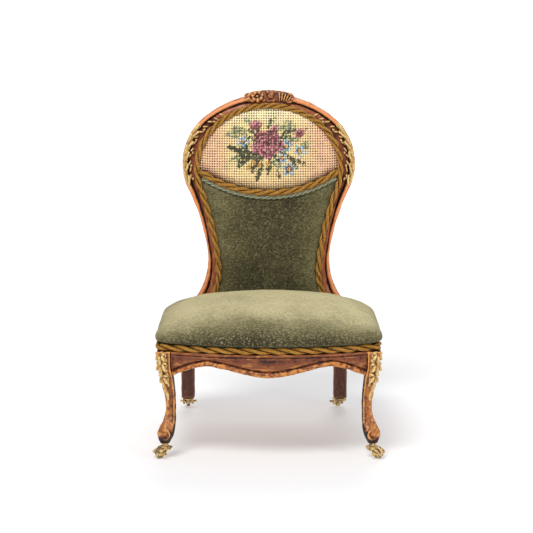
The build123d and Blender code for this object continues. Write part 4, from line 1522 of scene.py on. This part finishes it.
def make_knee_carving(name, side):
    """Gilded leaves in three groups down the outer front corner of the knee, ending in a drop."""
    levels = leg_levels()
    draw = random.Random(5 + side)
    spots = []

    def corner_spot(z, across, out):
        xi, xo, yf, yr, square = through(levels, z)
        keen = 0.30 * (1 - 2 / square) + 0.06
        outward = Vector((1, -1, 0)).normalized()
        side_way = Vector((1, 1, 0)).normalized()
        corner = Vector((xo - (0.5 - keen) * 0.9, yf + (0.5 - keen) * 0.9, z))
        return corner + side_way * (across - 0.40) + outward * (out - 0.30)

    def add(z, across, out, length, width, height, turn=0.0, rise=0.0):
        down = (corner_spot(z - 0.5, 0, 0) - corner_spot(z + 0.5, 0, 0)).normalized()
        basis = basis_of(down, Vector((1, 1, 0)).normalized())
        if (basis @ Vector((0, 0, 1))).dot(Vector((1, -1, 0))) < 0:
            basis = basis_of(down, Vector((-1, -1, 0)).normalized())
        spots.append(lobe(corner_spot(z, across, out), basis, length, width, height, turn, rise))

    for k in range(9):
        z = rail_top - 0.9 - 1.05 * k
        swell = 1.0 if k < 5 else 1.0 - 0.17 * (k - 4)
        add(z, 0.0, -0.50, 1.9, 2.9 * swell, 0.9 * swell)
    for drop, long, wide, spread in ((1.6, 2.2, 1.0, 0.95), (3.9, 2.8, 1.1, 0.90), (6.4, 2.9, 0.95, 0.70)):
        z = rail_top - drop
        add(z - 0.3, 0.0, 0.18, long, wide * 0.85, 0.95, draw.uniform(-8, 8), 9)
        for way in (-1, 1):
            lift = draw.uniform(-0.2, 0.2)
            turn = way * (28 + draw.uniform(-6, 8))
            add(z + 0.5 + lift, way * spread, 0.05, long * 0.8, wide * 0.7, 0.85, turn, 9)
            add(z + 1.35 + lift, way * (spread + 0.15), -0.10, long * 0.4, 0.6, 0.7, way * 70, 0)
    add(rail_top - 8.4, 0.1, 0.15, 2.2, 0.8, 0.85, 8, 6)
    add(rail_top - 9.4, 0.0, 0.08, 1.7, 0.75, 0.75)
    add(rail_top - 10.4, 0.05, 0.05, 1.3, 0.5, 0.5)
    piece = carved(name + "_leaf", spots, 0.1, 0.05)
    mirrored(piece, side)
    return finished(piece, gilded, "gilded_carving", "chair", name)


# ---------------------------------------------------------------- casters
def turned_part(name, profile, segments):
    """A part turned on a lathe: radius and height along its profile, from one end to the other."""
    rows = 4 * (len(profile) - 1)

    def place(u, v):
        at = min(v * (len(profile) - 1), len(profile) - 1.0001)
        k = int(at)
        radius, height = Vector(profile[k]).lerp(Vector(profile[k + 1]), at - k)
        turn = 2 * math.pi * u
        return Vector((radius * math.cos(turn), radius * math.sin(turn), height))
    return formed(name, segments, rows, place, round_columns=True)


def set_in_place(piece, place):
    """From a caster drawn with its swivel at the origin, trailing along -Y, to its own corner and heading."""
    x, y = stem_place(place)
    axis = joint_named("roll_" + place)["axis"]
    heading = math.atan2(axis[1], axis[0])
    piece.data.transform(Matrix.Translation((x, y, 0)) @ Matrix.Rotation(heading, 4, "Z"))
    return piece


def caster_sizes(place):
    """How far the wheel trails behind its stem, and the height of its axle."""
    swivel, roll = joint_named("swivel_" + place), joint_named("roll_" + place)
    trail = (Vector(roll["pos_m"]) - Vector(swivel["pos_m"])).to_2d().length / MM
    return trail, roll["pos_m"][2] / MM


def lay_on_axle(piece, trail, height):
    """Lays a turned part across the caster, at its axle."""
    lying = Matrix.Rotation(math.radians(90), 4, "Y")
    piece.data.transform(Matrix.Translation((0, -trail, height)) @ lying)


def make_wheel(place):
    """Dished wheel with a hub and a rounded rim."""
    trail, height = caster_sizes(place)
    r = height
    near_half = ((0.28, -0.60), (0.56, -0.60), (0.64, -0.52), (0.70, -0.40), (r - 0.34, -0.34),
                 (r - 0.20, -0.40), (r - 0.05, -0.30), (r, -0.12))
    profile = near_half + tuple((radius, -across) for radius, across in reversed(near_half))
    piece = turned_part("wheel_" + place + "_turned", profile + (profile[0],), 48)
    roughened(piece, 0.5, 0.02, trail)
    lay_on_axle(piece, trail, height)
    mark_hollows(piece, 2)
    set_in_place(piece, place)
    # painted shade and grime: the wheel takes the darker brass
    return finished(piece, grimy_shaded_brass, "brass", "roller_" + place, "wheel_" + place, angle=40)


def make_axle_pin(place):
    """Wire pin with rounded ends, through both cheeks and the wheel."""
    trail, height = caster_sizes(place)
    near_half = ((0.0, -2.0), (0.16, -2.0), (0.23, -1.92), (0.25, -1.8), (0.24, -0.9))
    profile = near_half + ((0.25, 0.0),) + tuple((radius, -across) for radius, across in reversed(near_half))
    piece = turned_part("axle_pin_" + place + "_wire", profile, 20)
    lay_on_axle(piece, trail, height)
    mark_hollows(piece, 1)
    set_in_place(piece, place)
    return finished(piece, brass, "brass", "fork_" + place, "axle_pin_" + place, angle=40)


def cut_plate(name, outline, thickness):
    """Flat plate of an outline, sawn and filed."""
    bpy.ops.mesh.primitive_circle_add(vertices=len(outline), radius=1, fill_type="NGON")
    piece = bpy.context.object
    piece.name = name
    for vertex, (x, y) in zip(piece.data.vertices, outline):
        vertex.co = (x, y, 0)

    def thicken():
        bpy.ops.mesh.extrude_region_move(TRANSFORM_OT_translate={"value": (0, 0, thickness)})

    def ease():
        bpy.ops.mesh.bevel(offset=0.05, segments=2)
    return editing(piece, thicken, outwards, ease)


plate_thickness = 0.3


def plate_under(place):
    """Height of the underside of a yoke's plate."""
    return corners("caster_yoke_" + place)[1].z - plate_thickness


def make_yoke(place):
    """Fork of the caster: plate round the stem and a cheek down each side of the wheel."""
    trail, height = caster_sizes(place)
    under = plate_under(place)
    top, gap, cheek = under + plate_thickness, 1.5, 0.5
    blade = [(-1.0, top), (-0.2, top), (1.0, top), (1.05, under), (0.5, under - 0.45)]
    round_end = []
    for k in range(12):
        turn = math.radians(-60 + 22 * k)
        round_end.append((-trail + 0.85 * math.cos(turn), height + 0.85 * math.sin(turn)))
    blade += sorted(round_end, key=lambda p: math.atan2(p[1] - height, p[0] + trail))
    upright = Matrix(((0, 0, 1, 0), (1, 0, 0, 0), (0, 1, 0, 0), (0, 0, 0, 1)))
    parts = []
    for start in (gap / 2, -gap / 2 - cheek):
        plate = cut_plate("cheek", blade, cheek)
        plate.data.transform(Matrix.Translation((start, 0, 0)) @ upright)
        parts.append(plate)
    ring = [(0.47, under), (1.1, under), (1.25, under + 0.06), (1.3, under + 0.15), (1.25, top - 0.06),
            (1.1, top), (0.47, top), (0.47, under)]
    parts.append(turned_part("plate", ring, 36))
    for way in (-1, 1):
        bpy.ops.mesh.primitive_cube_add(size=1)
        bridge = bpy.context.object
        spot = Matrix.Translation((way * 0.85, 0, (under + top) / 2))
        bridge.data.transform(spot @ Matrix.Diagonal((0.7, 2.0, plate_thickness, 1)))
        parts.append(bridge)
    piece = joined("caster_yoke_" + place + "_cast", parts)
    apply_modifier(piece, "REMESH", mode="VOXEL", voxel_size=0.07)
    apply_modifier(piece, "SMOOTH", factor=0.5, iterations=1)
    roughened(piece, 0.45, 0.05, trail + under)
    editing(piece, outwards)
    mark_hollows(piece, 3)
    set_in_place(piece, place)
    return finished(piece, brass, "brass", "fork_" + place, "caster_yoke_" + place, angle=50)


def make_stem(place):
    """Stem let into the leg: a ridged collar under the foot and a rivet head under the yoke."""
    low, high = corners("caster_stem_" + place)
    let_in = 3.0
    foot = high.z - let_in
    collar = plate_under(place) + 0.35
    profile = [(0.0, low.z), (0.45, low.z), (0.62, low.z + 0.06), (0.65, low.z + 0.14), (0.60, low.z + 0.2),
               (0.4, low.z + 0.2), (0.4, collar), (0.68, collar), (0.75, collar + 0.05)]
    if foot - collar > 0.3:
        profile += [(0.75, foot - 0.3), (0.66, foot - 0.2), (0.75, foot - 0.1)]
    profile += [(0.75, foot), (0.4, foot), (0.4, high.z), (0.0, high.z)]
    piece = turned_part("caster_stem_" + place + "_turned", profile, 36)
    mark_hollows(piece, 2)
    x, y = stem_place(place)
    piece.data.transform(Matrix.Translation((x, y, 0)))
    return finished(piece, brass, "brass", "chair", "caster_stem_" + place, angle=40)


# ---------------------------------------------------------------- boards kept from the design
def finish_boards():
    """The boards inside keep their own plain shapes."""
    for name in ("seat_board", "back_board", "back_lower_rail"):
        board = frame["nodes"][name]
        board.data.materials.clear()
        board.data.materials.append(inner_board)


make_camera()
make_studio()
make_frame_part("crest_rail", -1 - joint_turn, 1 + joint_turn)
make_frame_part("stile_left", -foot_place, -1 - joint_turn)
make_frame_part("stile_right", 1 + joint_turn, foot_place)
make_frame_rope()
make_medallion_rope()
make_green_cord()
make_back_pad()
make_medallion()
make_rear_cover()
make_crest_carving()
make_cushion()
make_seat_rope()
make_front_rail()
make_back_rail()
for side, name in ((-1, "left"), (1, "right")):
    make_shoulder_carving("shoulder_carving_" + name, side)
    make_side_rail("seat_side_rail_" + name, side)
    make_front_leg("front_leg_" + name, side)
    make_knee_carving("knee_carving_" + name, side)
    make_rear_leg("rear_leg_" + name)
for corner_name in ("front_left", "front_right", "rear_left", "rear_right"):
    make_stem(corner_name)
    make_yoke(corner_name)
    make_axle_pin(corner_name)
    make_wheel(corner_name)
finish_boards()
